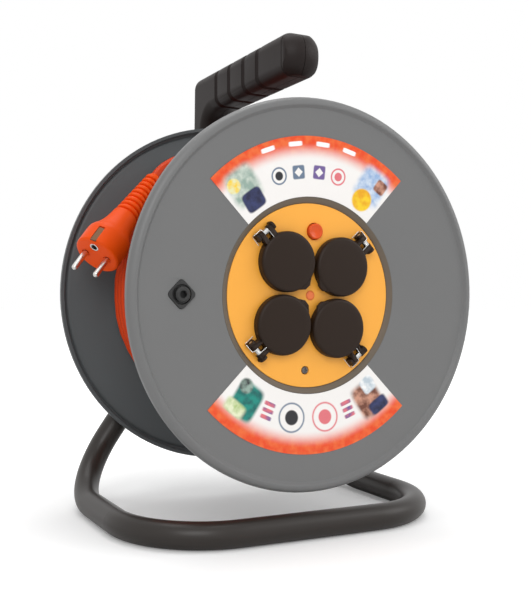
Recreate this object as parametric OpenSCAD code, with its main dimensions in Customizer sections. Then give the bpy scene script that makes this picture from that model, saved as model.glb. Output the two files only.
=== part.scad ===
// Extension cord reel on a bent tube stand: a dished plastic drum with 50 m of round
// cable turns on a steel axle and carries four earthed sockets under sprung lids.
// Millimetres, +Z up. The socket side faces -Y. The floor is z = 0.

/* [Stand] */
// Outer diameter of the stand tube
tube_d = 20; // [19:0.5:22]
// Wall thickness of the stand tube
tube_wall = 1.5; // [1.2:0.1:2]
// Height of the drum axle above the floor
axle_h = 179.3; // [177:0.5:184]
// Half width of the foot loop, between tube centres
foot_half = 127; // [123:1:132]
// Distance from the front foot rail to the upright, between tube centres
foot_depth = 185.5; // [184.5:0.5:190]
// Bend radius of the front foot corners
foot_corner_r = 68; // [60:1:72]
// Bend radius where the legs turn into the foot
leg_corner_r = 57; // [50:1:60]
// Bend radius where the upright leans into the left leg
hip_bend_r = 60; // [54:1:64]
// Height of the carrying handle above the axle
handle_rise = 180; // [179:0.5:186]
// Bend radius between the upright and the handle
handle_bend_r = 35; // [33:1:38]

/* [Grip] */
// Width of the moulded grip
grip_w = 30; // [29:0.5:33]
// Height of the moulded grip
grip_t = 33.2; // [32.6:0.1:35]
// Rise of the grip towards its domed end, in degrees
grip_tilt = 2; // [0.5:0.5:2.5]
// Length of the grip from its domed end to its rear face
grip_len = 181; // [177:1:184]
// Depth of the finger grooves
groove_deep = 0.8; // [0.5:0.1:1.2]

/* [Drum] */
// Outer radius of both flanges
flange_r = 145; // [143:0.5:147]
// Width of the drum over both flange rims
drum_w = 171; // [170:0.5:172]
// Gap between the rim of the rear flange and the plate on the stand
drum_gap = 5.5; // [5:0.1:6.5]
// Outer radius of the winding core
core_r = 68; // [67.6:0.1:68.2]
// Wall thickness of the drum mouldings
drum_wall = 3; // [2.6:0.1:3.3]
// Dish of the flange face between its rim and its middle
dish = 5.5; // [5:0.1:6]
// Diameter of the axle shaft
axle_d = 16; // [15:0.2:17]

/* [Sockets] */
// Radius of the coloured socket panel
panel_r = 68.2; // [68.2:0.1:68.4]
// Distance of the socket centres from the panel centre
socket_off = 32.6; // [32.4:0.1:33]
// Turn of the socket pattern on the drum, in degrees
pattern_turn = -3.5; // [-6:0.5:3]
// Diameter of the socket recess
recess_d = 39.5; // [39:0.1:39.6]
// Depth of the socket recess
recess_deep = 17.5; // [17:0.1:17.8]
// Distance between the two pins of an earthed plug
pin_pitch = 19; // [18.8:0.1:19.2]
// Diameter of a plug pin
pin_d = 4.8; // [4.7:0.1:4.9]

/* [Lids] */
// Diameter of a socket lid
lid_d = 44.5; // [44.2:0.1:44.8]
// Height of a socket lid
lid_t = 7.7; // [7.3:0.1:8]
// Distance of the lid hinge pins from the panel centre
hinge_off = 60.6; // [60.4:0.1:61]
// Width of the hinge ear on a lid
ear_w = 12; // [11.6:0.1:12.2]
// Diameter of the reset button
button_d = 12; // [11.6:0.1:12.2]
// Travel of the reset button
button_travel = 3; // [2:0.1:3]

/* [Winding knob seat] */
// Distance of the knob seat from the axle
knob_off = 105; // [104:0.5:108]
// Width of the square knob seat
knob_seat_w = 16; // [15:0.1:18]
// Diameter of the boss round the knob hole
knob_boss_d = 10.8; // [9:0.1:12]
// Diameter of the knob hole
knob_hole_d = 5; // [4.5:0.1:6]
// Depth of the knob hole
knob_hole_deep = 9; // [8:0.1:9]

/* [Labels] */
// Outer radius of the printed labels
label_r = 117; // [112:0.5:120]
// Angle covered by the upper label
label_top_sweep = 87; // [80:1:90]
// Angle covered by the lower label
label_low_sweep = 90; // [84:1:94]

/* [Cable] */
// Diameter of the cable
cable_d = 7.6; // [7.4:0.1:7.8]
// Outer radius of the wound cable
coil_r = 103.2; // [101:0.2:103.4]
// Diameter of the plug head
plug_d = 37; // [36:0.5:38]
// Length of the plug from its face to its neck
plug_len = 45; // [43:1:46]

/* [Hidden] */
$fn = 64;
run_fit = 0.05;      // radial clearance of a shaft in its bush or an eye on its pin
air = 0.35;          // smallest gap between faces that move past each other
tube_r = tube_d / 2;
bore_r = tube_r - tube_wall;
axle_r = axle_d / 2;
plate_t = 3;
up_y = drum_w + drum_gap + plate_t + tube_r;
foot_y = up_y - foot_depth;
grip_back = 3;       // grip wall behind the upright
mid_y = (min(foot_y - tube_r, 0) + up_y + tube_r + grip_back) / 2;

// The left leg is tangent to the hip bend and runs to the rear corner of the foot.
hip_z = 34;
rail_z = -axle_h + tube_r;
leg_dx = foot_half - hip_bend_r;
leg_dz = hip_z - rail_z;
leg_a = atan2(leg_dx, leg_dz) + asin(hip_bend_r / norm([leg_dx, leg_dz]));
leg_len = sqrt(leg_dx * leg_dx + leg_dz * leg_dz - hip_bend_r * hip_bend_r);
leg_top = [-hip_bend_r * (1 - cos(leg_a)), hip_z - hip_bend_r * sin(leg_a)];
apex_run = -leg_top[0] / sin(leg_a);

// Hub
plate_y0 = up_y - tube_r - plate_t;
collar_t = 1.5;
collar_r = axle_r + 5;
washer_t = 1.5;
collar_y0 = plate_y0 - collar_t;
washer_y0 = collar_y0 - washer_t;
bush_flange_t = 1;
bush_wall = 2.5;
bush_r = axle_r + run_fit + bush_wall;
bush_end_y = washer_y0 - air;
boss_end_y = bush_end_y - bush_flange_t;
boss_r = bush_r + 3;
boss_front_y = drum_w / 2 + 5.8;
axle_front_y = boss_front_y - bush_flange_t - air;
bush_len = 12;

// Drum
mid = drum_w / 2;
crest_y = 5;
lip_r = 5;
roll_r = flange_r - lip_r;
rim_r = flange_r - 8;
hub_r = 72.7;
rim_y = 2.5;
face_y = rim_y + dish;
panel_t = 3;
panel_y = face_y + 2;
ledge_y = panel_y + panel_t;
core_in = core_r - 2.5;
coil_y0 = 16.5;
web_y = drum_w - face_y - drum_wall;
bulk_y = 56;
bulk_t = 2.5;
screw_off = core_in - 6.5;
screw_hole_r = 2;
screw_len = 14;      // length of a drum screw in the front half
screw_seat = 9.5;    // depth of its head's seat behind the joint of the halves
core_end_y = drum_w - coil_y0;
function face_at(r) = rim_y + (rim_r - r) / (rim_r - hub_r) * dish;

// Sockets and lids
recess_r = recess_d / 2;
cup_r = recess_r + 1.75;
floor_t = 4;
floor_y = panel_y + recess_deep;
cup_end_y = floor_y + floor_t;
lid_r = lid_d / 2;
lid_back_y = panel_y - air;
lid_front_y = lid_back_y - lid_t;
lid_wall = 2;
pin_y = panel_y - 3.6;
eye_r = 3;
hinge_pin_r = 1.25;
notch_w = 5;
lug_t = 2;
lug_gap = air;
button_r = button_d / 2;
button_off = 47.6;
button_y = panel_y - button_travel;
strap_y = cup_end_y;
ring_y = strap_y + 4.5;
sleeve_end_y = strap_y + 15;
core_entry_y = 24;
entry_r = cable_d / 2;
wire_r = 1.4;

// Labels
label_t = 0.3;
label_top_mid = 93;
label_low_mid = 268.5;

// Plug
plug_at = [-129.4, 119.5, 28.5];
plug_turn = [138.5, 17, -44.5];
neck_r = 10;
relief_len = 50;
relief_r = 5.5;
pin_len = 19;
pin_step = 0.4;      // the pins are thinner inside the plug
tail_r = cable_d / 2;

// Loose end of the cable: angle round the axle, distance from it, place along it.
tail = [[0, 107.2, 148], [12, 107.2, 148.8], [24, 107.2, 150], [36, 107.4, 151.5],
    [48, 108, 153], [60, 109.2, 154.5], [70, 111, 155.7], [80, 113.8, 156.6],
    [88, 116.6, 157.2], [96, 119.3, 157.5], [104, 121.7, 157.5], [111, 122.8, 157],
    [117, 122.6, 155.3], [122, 121.5, 152.8], [126.1, 119.5, 149.8]];

module at_axle() translate([0, -mid_y, axle_h]) children();
module pattern() at_axle() rotate([0, -pattern_turn, 0]) children();
module polar(a) rotate([0, -a, 0]) children();
module along_y() rotate([-90, 0, 0]) children();
module across_x() rotate([0, 90, 0]) children();

module ycyl(r, y0, y1, x = 0, z = 0, n = 48)
    translate([x, y0, z]) along_y() cylinder(r = r, h = y1 - y0, $fn = n);

module xcyl(r, x0, x1, y = 0, z = 0, n = 32)
    translate([x0, y, z]) across_x() cylinder(r = r, h = x1 - x0, $fn = n);

module zcyl(r, z0, z1, x = 0, y = 0, n = 32)
    translate([x, y, z0]) cylinder(r = r, h = z1 - z0, $fn = n);

// Box from two opposite corners.
module block(a, b) translate(a) cube(b - a);

module turned(n = 128) along_y() rotate_extrude($fn = n) children();

module arc_tube(bend, r, a) rotate_extrude(angle = a, $fn = 96)
    translate([bend, 0]) circle(r = r, $fn = 40);

module rounded(w, h, r)
    for (k = [0]) {
        square([w - 2 * r, h], center = true);
        square([w, h - 2 * r], center = true);
        for (sx = [-1, 1], sy = [-1, 1])
            translate([sx * (w / 2 - r), sy * (h / 2 - r)]) circle(r = r, $fn = 32);
    }

// ---- Stand -------------------------------------------------------------------
rail_len = foot_depth - leg_corner_r - foot_corner_r;
front_len = 2 * (foot_half - foot_corner_r);
leg_run = leg_len - leg_corner_r;
up_len = handle_rise - handle_bend_r - hip_z;
weld_len = 10;       // swaged end of the right leg, welded into the upright
weld_step = 0.5;
handle_end = 8.5;    // distance of the tube's end behind the front of the grip
handle_y0 = up_y + tube_r + grip_back - grip_len + handle_end;
handle_len = up_y - handle_bend_r - handle_y0;

// Bends are drawn a hair thinner than the straights, which run a little way into them.
bend_thin = 0.02;
lap = 0.05;
module straight(r, h) translate([0, 0, -lap]) cylinder(r = r, h = h + 2 * lap, $fn = 40);
module bend(bend_r, r, a) arc_tube(bend_r, r - bend_thin, a);

// One bent tube: each piece starts in the frame where the piece before it ends.
module tube_path(r, cut) translate([0, up_y, hip_z]) {
    straight(r, up_len);
    translate([0, 0, up_len]) {
        translate([0, -handle_bend_r, 0]) rotate([90, 0, 90]) bend(handle_bend_r, r, 90);
        translate([0, -handle_bend_r, handle_bend_r]) rotate([90, 0, 0])
            straight(r, handle_len + cut);
    }
    translate([-hip_bend_r, 0, 0]) {
        rotate([90, 0, 0]) mirror([0, 1, 0]) bend(hip_bend_r, r, leg_a);
        rotate([0, leg_a, 0]) translate([hip_bend_r, 0, 0]) {
            rotate([180, 0, 0]) straight(r, leg_run);
            translate([0, 0, -leg_run]) left_foot(r, cut);
        }
    }
}

module left_foot(r, cut) {
    translate([0, -leg_corner_r, 0]) rotate([90, 0, 90]) mirror([0, 1, 0])
        bend(leg_corner_r, r, 90);
    translate([0, -leg_corner_r, -leg_corner_r]) {
        rotate([90, 0, 0]) straight(r, rail_len);
        translate([0, -rail_len, 0]) rotate([0, -leg_a, 0]) front_loop(r, cut);
    }
}

module front_loop(r, cut) {
    translate([foot_corner_r, 0, 0]) rotate([0, 0, 180]) bend(foot_corner_r, r, 90);
    translate([foot_corner_r, -foot_corner_r, 0]) {
        rotate([0, 90, 0]) straight(r, front_len);
        translate([front_len, 0, 0]) {
            translate([0, foot_corner_r, 0]) rotate([0, 0, -90]) bend(foot_corner_r, r, 90);
            translate([foot_corner_r, foot_corner_r, 0]) rotate([0, -leg_a, 0]) {
                rotate([-90, 0, 0]) straight(r, rail_len);
                translate([0, rail_len, 0]) right_leg(r, cut);
            }
        }
    }
}

module right_leg(r, cut) {
    translate([0, 0, leg_corner_r]) rotate([90, 0, 90]) rotate([0, 0, -90])
        bend(leg_corner_r, r, 90);
    translate([0, leg_corner_r, leg_corner_r]) {
        straight(r, leg_run - weld_len * (1 - cut));
        if (cut == 0) translate([0, 0, leg_run - weld_len])
            cylinder(r = r - weld_step, h = weld_len + apex_run, $fn = 40);
    }
}

module stand_tube() color("#2b2622") at_axle() difference() {
    tube_path(tube_r, 0);
    tube_path(bore_r, 1);
}

module hub_plate() color("#33302d") at_axle() difference() {
    translate([0, plate_y0 + plate_t, 0]) rotate([90, 0, 0]) linear_extrude(plate_t)
        polygon([[-16, 18], [16, 18], [22, 12], [42, -32], [36, -40], [-36, -40],
            [-42, -32], [-22, 12]]);
    ycyl(axle_r - 2, plate_y0 - 1, plate_y0 + plate_t + 1);
}

module axle() color("#9a9c9e") at_axle() difference() {
    union() {
        ycyl(axle_r, axle_front_y, plate_y0, n = 64);
        ycyl(collar_r, collar_y0, plate_y0);
        ycyl(axle_r - 2, plate_y0, plate_y0 + plate_t);
    }
    ycyl(3, axle_front_y - 1, axle_front_y + 25);
}

module axle_washer() color("#b4b6b8") at_axle() difference() {
    ycyl(boss_r - 1, axle_front_y - washer_t, axle_front_y);
    ycyl(3.1, axle_front_y - 3, axle_front_y + 1);
}

module axle_screw() color("#a8aaac") at_axle() {
    ycyl(3, axle_front_y - washer_t, axle_front_y + 22);
    ycyl(5, axle_front_y - washer_t - 4, axle_front_y - washer_t);
}

module thrust_washer() color("#d8d4c8") at_axle() difference() {
    ycyl(collar_r, washer_y0, collar_y0);
    ycyl(axle_r, washer_y0 - 1, collar_y0 + 1);
}

// ---- Grip --------------------------------------------------------------------
grip_back_y = up_y + tube_r + grip_back;
grip_y0 = grip_back_y - grip_len;
grip_drop = 3.3;     // the grip's axis runs this far under the tube's at the upright
grip_mid = handle_rise - grip_drop;
grip_top = grip_mid + grip_t / 2;
grip_low = grip_mid - grip_t / 2;
grip_end_z = handle_rise - handle_bend_r;
grip_corner_r = 9;
nose_r = 14;
neck_y0 = up_y - tube_r - 2.5;
neck_fillet = 14;

// Turns a shape drawn level so that the grip rises towards its domed end.
module tilted() translate([0, up_y, grip_mid]) rotate([-grip_tilt, 0, 0])
    translate([0, -up_y, -grip_mid]) children();

function fan(c, r, a0, a1, n) =
    [for (k = [0:n]) let (a = a0 + (a1 - a0) * k / n) [c[0] + r * cos(a), c[1] + r * sin(a)]];

module grip_side() polygon(concat(
    fan([grip_y0 + nose_r, grip_top - nose_r], nose_r, 180, 90, 10),
    [[grip_back_y + 5, grip_top], [grip_back_y + 5, grip_low]],
    fan([grip_y0 + nose_r - 4, grip_low + nose_r - 4], nose_r - 4, 270, 180, 10)));

module elbow_side() polygon(concat(
    fan([grip_back_y - 9, grip_top - 9], 9, 90, 0, 8),
    [[grip_back_y, grip_end_z], [neck_y0, grip_end_z]],
    fan([neck_y0 - neck_fillet, grip_low - neck_fillet + 1], neck_fillet, 0, 90, 8),
    [[neck_y0 - neck_fillet - 8, grip_low + 9], [neck_y0 - neck_fillet - 8, grip_top]]));

module grip_section(inset)
    translate([0, grip_mid]) rounded(grip_w - 2 * inset, grip_t - 2 * inset, grip_corner_r);

module grip_bar(inset, y0, y1)
    translate([0, y1, 0]) rotate([90, 0, 0]) linear_extrude(y1 - y0) grip_section(inset);

module from_side() rotate([90, 0, 90]) translate([0, 0, -grip_w / 2])
    linear_extrude(grip_w) children();

module grip_solid() {
    tilted() intersection() {
        from_side() grip_side();
        grip_bar(0, grip_y0 - 1, grip_back_y - 9);
        translate([0, 0, grip_low - 1]) linear_extrude(grip_t + 2)
            translate([0, (grip_y0 + grip_back_y + 40) / 2])
                rounded(grip_w, grip_back_y + 40 - grip_y0, nose_r);
    }
    intersection() {
        from_side() elbow_side();
        translate([0, 0, grip_end_z - 1]) linear_extrude(grip_top + 2 - grip_end_z)
            translate([0, (neck_y0 - 23 + grip_back_y) / 2])
                rounded(grip_w - 1, grip_back_y - neck_y0 + 23, 9);
        translate([0, grip_back_y + 1, 0]) rotate([90, 0, 0]) linear_extrude(80)
            translate([0, grip_end_z]) rounded(grip_w + 1, 2 * (grip_top - grip_end_z), 8);
    }
}

module grip_groove(d, width, deep) difference() {
    block([-grip_w, grip_y0 + d - width / 2, grip_low - 5],
        [grip_w, grip_y0 + d + width / 2, grip_top + 5]);
    grip_bar(deep, grip_y0 + d - width, grip_y0 + d + width);
}

module grip_grooves() tilted() for (d = [51.5, 76.2, 103, 128.5])
    grip_groove(d, 6, groove_deep);

// The screws run through the moulding over and under the tube.
function grip_rise(y) = (up_y - y) * tan(grip_tilt);
grip_screw_at = [
    [grip_y0 + 39, (handle_rise + tube_r + grip_top + grip_rise(grip_y0 + 39)) / 2],
    [grip_y0 + 90, (handle_rise - tube_r + grip_low + grip_rise(grip_y0 + 90)) / 2],
    [grip_y0 + 116, (handle_rise - tube_r + grip_low + grip_rise(grip_y0 + 116)) / 2]];

module grip_half(side) difference() {
    intersection() {
        grip_solid();
        translate([side > 0 ? 0 : -grip_w, 0, grip_end_z - 5]) cube([grip_w, 260, 100]);
    }
    grip_grooves();
    ycyl(tube_r, handle_y0, up_y - handle_bend_r, 0, handle_rise, 40);
    translate([0, up_y - handle_bend_r, handle_rise - handle_bend_r])
        rotate([90, 0, 90]) arc_tube(handle_bend_r, tube_r, 90);
    zcyl(tube_r, grip_end_z - 2, handle_rise - handle_bend_r, 0, up_y, 40);
    for (p = grip_screw_at) {
        xcyl(1.5, -9, 9, p[0], p[1], 24);
        if (side > 0) xcyl(3.3, 5, grip_w, p[0], p[1], 24);
    }
}

module grip_left() color("#211f1e") at_axle() grip_half(-1);
module grip_right() color("#211f1e") at_axle() grip_half(1);

module grip_screws() color("#8d8f91") at_axle() for (p = grip_screw_at) {
    xcyl(1.5, -8, 5, p[0], p[1], 24);
    xcyl(3, 5, 7.4, p[0], p[1], 24);
}

// ---- Drum --------------------------------------------------------------------
lip_in = lip_r - drum_wall + 0.4;

// Flange profile from the hub to the rim and back, as distance from the front crest.
function flange_edge() = concat(
    [[hub_r, face_y], [rim_r, rim_y]],
    [for (a = [100:-20:0]) [roll_r + lip_r * cos(a), crest_y - lip_r * sin(a)]],
    [[flange_r, crest_y + 3], [flange_r - lip_r + lip_in, crest_y + 3]],
    [for (a = [0:30:90]) [roll_r + lip_in * cos(a), crest_y - lip_in * sin(a)]],
    [[rim_r, rim_y + drum_wall], [core_r + 8, face_at(core_r + 8) + drum_wall],
        [core_r + 3, coil_y0 - 0.5], [core_r, coil_y0]]);

module screw_posts(y0, y1, r) for (a = [0:90:270])
    polar(a) ycyl(r, y0, y1, screw_off, 0, 40);

module knob_seat(y0) translate([0, 6.6, 0]) rotate([90, 0, 0]) linear_extrude(6.6 - y0)
    rounded(knob_seat_w, knob_seat_w, 3);

module knob_place() rotate([0, pattern_turn, 0]) translate([-knob_off, 0, 0])
    rotate([0, 45, 0]) children();

module front_flange() color("#6e6e6e") pattern() difference() {
    union() {
        turned() polygon(concat(
            [[core_r - 6, ledge_y], [panel_r + 0.2, ledge_y], [panel_r + 0.2, panel_y + 1],
                [hub_r, panel_y + 1]],
            flange_edge(),
            [[core_r - 6, coil_y0]]));
        // Boss behind the knob seat.
        knob_place() block([-10, 5.8, -10], [10, 10.6, 10]);
    }
    knob_place() {
        knob_seat(-5);
        block([-5.5, 0, -5.5], [5.5, 20, 5.5]);
    }
}

module core_tube(y0, y1) difference() {
    ycyl(core_r, y0, y1, n = 128);
    ycyl(core_in, y0 - 1, y1 + 1, n = 128);
}

module front_core() color("#6e6e6e") pattern() difference() {
    union() {
        core_tube(coil_y0, mid);
        ycyl(core_in + 0.5, bulk_y, bulk_y + bulk_t, n = 128);
        screw_posts(bulk_y, mid, 6.6);
        ycyl(5, ledge_y, bulk_y + 0.5);
        polar(270) ycyl(4.5, ledge_y, bulk_y + 0.5, 55.6);
        // Shelf under the cord clamp and a thick wall round the cord gland.
        block([-core_in - 1, core_entry_y + entry_r, -12],
            [-51, core_entry_y + entry_r + 4, 12]);
        intersection() {
            xcyl(10, -core_in - 1, -core_in + 4, core_entry_y, 0, 40);
            ycyl(core_r, coil_y0, mid);
        }
    }
    screw_posts(mid - screw_len - 0.5, mid + 1, screw_hole_r);
    ycyl(1.5, ledge_y - 1, ledge_y + 16, n = 24);
    polar(270) ycyl(1.5, ledge_y - 1, ledge_y + 16, 55.6, n = 24);
    xcyl(7, -core_r - 2, -core_in + 5, core_entry_y, 0, 40);
    for (s = [-1, 1]) ycyl(1.5, core_entry_y, core_entry_y + 20, -57, s * 8, 24);
}

module rear_core() color("#6e6e6e") pattern() difference() {
    union() {
        core_tube(mid, core_end_y);
        ycyl(boss_r, boss_front_y, web_y);
        screw_posts(mid, web_y, 6.6);
        for (a = [0:90:270]) polar(a)
            block([bush_r + 1, web_y - 38, -1.5], [core_in + 1, core_end_y, 1.5]);
    }
    ycyl(bush_r, boss_front_y - 1, web_y + 1);
    screw_posts(mid - 1, mid + screw_seat + 1, screw_hole_r + 0.25);
    screw_posts(mid + screw_seat, web_y + 1, 5);
}

module rear_flange() color("#6e6e6e") pattern() difference() {
    union() {
        translate([0, drum_w, 0]) mirror([0, 1, 0]) turned() polygon(concat(
            [[0, drum_w - web_y], [0, face_y]], flange_edge(),
            [[core_in, coil_y0], [core_in, drum_w - web_y]]));
        ycyl(boss_r, web_y, boss_end_y);
    }
    ycyl(bush_r, web_y - 1, boss_end_y + 1);
    screw_posts(web_y - 1, drum_w, 5);
}

module drum_screws() color("#8d8f91") pattern() for (a = [0:90:270]) polar(a) {
    ycyl(screw_hole_r, mid - screw_len, mid + screw_seat, screw_off, 0, 24);
    ycyl(4, mid + screw_seat, mid + screw_seat + 3, screw_off, 0, 24);
}

module bush(y0, y1, flange_y) difference() {
    union() {
        ycyl(bush_r, y0, y1);
        ycyl(boss_r, flange_y, flange_y + bush_flange_t);
    }
    ycyl(axle_r + run_fit, y0 - 2, y1 + 2, n = 64);
}

module axle_bush_front() color("#d9d6cc") at_axle()
    bush(boss_front_y - bush_flange_t, boss_front_y + bush_len, boss_front_y - bush_flange_t);
module axle_bush_rear() color("#d9d6cc") at_axle()
    bush(boss_end_y - bush_len, boss_end_y + bush_flange_t, boss_end_y);

module panel_gasket() color("#2a2a2a") at_axle() turned() polygon([
    [panel_r + 0.2, panel_y], [hub_r, face_y], [hub_r, panel_y + 1],
    [panel_r + 0.2, panel_y + 1]]);

module socket_places() for (a = [45:90:315]) polar(a) children();

module socket_panel() color("#f08c1e") pattern() difference() {
    union() {
        ycyl(panel_r, panel_y, ledge_y, n = 128);
        socket_places() for (s = [-1, 1]) lid_lug(s);
        ycyl(5.5, panel_y - 0.8, panel_y + 1);
    }
    socket_places() ycyl(cup_r, panel_y - 1, ledge_y + 1, socket_off, 0, 64);
    polar(90) ycyl(button_r + air, panel_y - 1, ledge_y + 1, button_off);
    ycyl(1.6, panel_y - 2, ledge_y + 1, n = 24);
    ycyl(3.2, panel_y - 2, panel_y + 1, n = 32);
    polar(270) ycyl(1.6, panel_y - 1, ledge_y + 1, 55.6, n = 24);
    polar(270) ycyl(3.2, panel_y - 1, panel_y + 1.2, 55.6, n = 32);
}

module lid_lug(s) {
    z0 = s > 0 ? ear_w / 2 + lug_gap : -ear_w / 2 - lug_gap - lug_t;
    difference() {
        union() {
            zcyl(eye_r + 0.1, z0, z0 + lug_t, hinge_off, pin_y);
            block([hinge_off - eye_r - 0.1, pin_y, z0],
                [hinge_off + eye_r + 0.1, panel_y + 1, z0 + lug_t]);
        }
        zcyl(hinge_pin_r, z0 - 1, z0 + lug_t + 1, hinge_off, pin_y, 32);
    }
}

module lid_pins() color("#b9bbbd") pattern() socket_places()
    zcyl(hinge_pin_r, -ear_w / 2 - lug_gap - lug_t, ear_w / 2 + lug_gap + lug_t,
        hinge_off, pin_y, 32);

module lid_springs() color("#c4c6c8") pattern() socket_places() {
    for (k = [-2:2]) translate([hinge_off, pin_y, k * 0.8])
        rotate_extrude($fn = 40) translate([hinge_pin_r + 0.4, 0]) circle(r = 0.4, $fn = 12);
    xcyl(0.4, hinge_off - 5, hinge_off, pin_y - hinge_pin_r - 0.4, 1.6, 12);
    xcyl(0.4, hinge_off - 5, hinge_off, pin_y + hinge_pin_r + 0.4, -1.6, 12);
}

module panel_screws() color("#8d8f91") pattern() {
    ycyl(1.5, panel_y + 1, ledge_y + 12, n = 24);
    ycyl(3, panel_y - 0.6, panel_y + 1, n = 32);
    polar(270) {
        ycyl(1.5, panel_y + 1.2, ledge_y + 12, 55.6, n = 24);
        ycyl(3, panel_y + 0.1, panel_y + 1.2, 55.6, n = 32);
    }
}

module socket_well(a) color("#1d1d1d") pattern() polar(a) difference() {
    union() {
        ycyl(cup_r, panel_y, cup_end_y, socket_off, 0, 64);
        ycyl(cup_r + 0.8, ledge_y, ledge_y + 2, socket_off, 0, 64);
    }
    ycyl(recess_r, panel_y - 1, floor_y, socket_off, 0, 64);
    for (s = [-1, 1]) {
        ycyl(pin_d / 2 + 0.3, floor_y - 1, cup_end_y + 1, socket_off + s * pin_pitch / 2, 0, 32);
        translate([socket_off, 0, 0]) block(
            [-3.2, floor_y - 1, s > 0 ? recess_r - 1.4 : -recess_r + 0.2],
            [3.2, cup_end_y + 1, s > 0 ? recess_r - 0.2 : -recess_r + 1.4]);
    }
}

module earth_contact(a) color("#c9ccd0") pattern() polar(a) translate([socket_off, 0, 0]) {
    for (s = [-1, 1]) block(
        [-3, panel_y + 4, s > 0 ? recess_r - 1.2 : -recess_r + 0.4],
        [3, cup_end_y + 0.8, s > 0 ? recess_r - 0.4 : -recess_r + 1.2]);
    block([-3, cup_end_y, -recess_r + 0.4], [3, cup_end_y + 0.8, recess_r - 0.4]);
}

module earth_ring() color("#c9ccd0") pattern() difference() {
    ycyl(socket_off + 2.1, strap_y + 0.8, strap_y + 1.8, n = 96);
    ycyl(socket_off - 2.1, strap_y, strap_y + 3, n = 96);
}

module contact_sleeves(r, open) difference() {
    union() {
        if (open) rotate([0, -104, 0]) translate([0, ring_y + 1.2, 0]) rotate([90, 0, 0])
            rotate_extrude(angle = 332, $fn = 96) translate([r - 2.1, 0]) square([4.2, 1.2]);
        else difference() {
            ycyl(r + 2.1, ring_y, ring_y + 1.2, n = 96);
            ycyl(r - 2.1, ring_y - 1, ring_y + 3, n = 96);
        }
        socket_places() ycyl(pin_d / 2 + 1, strap_y, sleeve_end_y, r);
    }
    socket_places() ycyl(pin_d / 2 + 0.05, strap_y - 1, sleeve_end_y + 1, r, n = 32);
}

module live_strip() color("#c8a24a") pattern() contact_sleeves(socket_off + pin_pitch / 2, true);
module neutral_strip() color("#c8a24a") pattern()
    contact_sleeves(socket_off - pin_pitch / 2, false);

module cutout_body() color("#3a3d42") pattern() polar(90) difference() {
    union() {
        ycyl(9.5, ledge_y, 24, button_off);
        block([41.5, 23, -7.5], [60, 50, 7.5]);
    }
    ycyl(8, ledge_y - 1, 21, button_off);
}

module reset_button() color("#c61f1a") pattern() polar(90) {
    ycyl(button_r, button_y, ledge_y + 1, button_off);
    ycyl(button_r + 1.4, ledge_y + 0.4, ledge_y + 2, button_off);
}

module knob_socket() color("#1b1b1b") at_axle() translate([-knob_off, 0, 0]) difference() {
    union() {
        rotate([0, 45, 0]) {
            knob_seat(4);
            block([-5.5, 4, -5.5], [5.5, 11.6, 5.5]);
        }
        ycyl(knob_boss_d / 2, 0.9, 5);
    }
    ycyl(knob_hole_d / 2, -1, 0.9 + knob_hole_deep, n = 40);
}

module label(a0, sweep) rotate([0, -a0, 0]) rotate([90, 0, 0])
    rotate_extrude(angle = sweep, $fn = 128) polygon([
        [hub_r + 0.3, -face_at(hub_r + 0.3)], [label_r, -face_at(label_r)],
        [label_r, label_t - face_at(label_r)], [hub_r + 0.3, label_t - face_at(hub_r + 0.3)]]);

module label_top() color("#e8e0d4") at_axle()
    label(label_top_mid - label_top_sweep / 2, label_top_sweep);
module label_bottom() color("#e8e0d4") at_axle()
    label(label_low_mid - label_low_sweep / 2, label_low_sweep);

// ---- Lids --------------------------------------------------------------------
module lid(a) color("#191919") pattern() polar(a) difference() {
    union() {
        translate([socket_off, 0, 0]) turned(64) polygon([[0, lid_front_y],
            [lid_r - 2, lid_front_y], [lid_r, lid_front_y + 1.6], [lid_r, lid_back_y],
            [0, lid_back_y]]);
        block([socket_off + lid_r - 3, pin_y - eye_r, -ear_w / 2],
            [hinge_off, pin_y + eye_r - 0.6, ear_w / 2]);
        zcyl(eye_r, -ear_w / 2, ear_w / 2, hinge_off, pin_y);
        block([socket_off - lid_r - 2.2, lid_front_y + 1.8, -5],
            [socket_off - lid_r + 3, lid_front_y + 4.6, 5]);
    }
    ycyl(lid_r - lid_wall, lid_front_y + lid_wall, lid_back_y + 1, socket_off, 0, 64);
    zcyl(hinge_pin_r + run_fit, -ear_w, ear_w, hinge_off, pin_y, 40);
    block([hinge_off - 6.5, lid_front_y - 1, -notch_w / 2],
        [hinge_off + 5, lid_back_y + 1, notch_w / 2]);
}

module lid_seal(a) color("#3c3c3c") pattern() polar(a) translate([socket_off, 0, 0])
    turned(64) polygon([[lid_r - lid_wall - 1.6, lid_back_y - 1.6],
        [lid_r - lid_wall, lid_back_y - 1.6], [lid_r - lid_wall, lid_back_y],
        [lid_r - lid_wall - 1.6, lid_back_y]]);

// ---- Cord entry --------------------------------------------------------------
module cord_gland() color("#222222") pattern() difference() {
    xcyl(7, -core_r + 0.5, -core_in + 5, core_entry_y, 0, 40);
    xcyl(entry_r, -core_r - 1, -core_in + 6, core_entry_y, 0, 40);
}

module cable_inner() color("#ff5a10") pattern()
    xcyl(entry_r, -core_r + 0.2, -50, core_entry_y, 0, 40);

module cord_clamp() color("#e9e6df") pattern() difference() {
    block([-60.5, core_entry_y - entry_r - 2, -12], [-53.5, core_entry_y + entry_r, 12]);
    xcyl(entry_r, -70, -40, core_entry_y, 0, 40);
    block([-70, core_entry_y, -entry_r], [-40, core_entry_y + 10, entry_r]);
    for (s = [-1, 1]) ycyl(1.5, core_entry_y - 9, core_entry_y + 9, -57, s * 8, 24);
}

module clamp_screws() color("#8d8f91") pattern() for (s = [-1, 1]) {
    y0 = core_entry_y - entry_r - 2;
    ycyl(1.5, y0, core_entry_y + entry_r + 3.5, -57, s * 8, 24);
    ycyl(2.8, y0 - 2, y0, -57, s * 8, 24);
}

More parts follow.
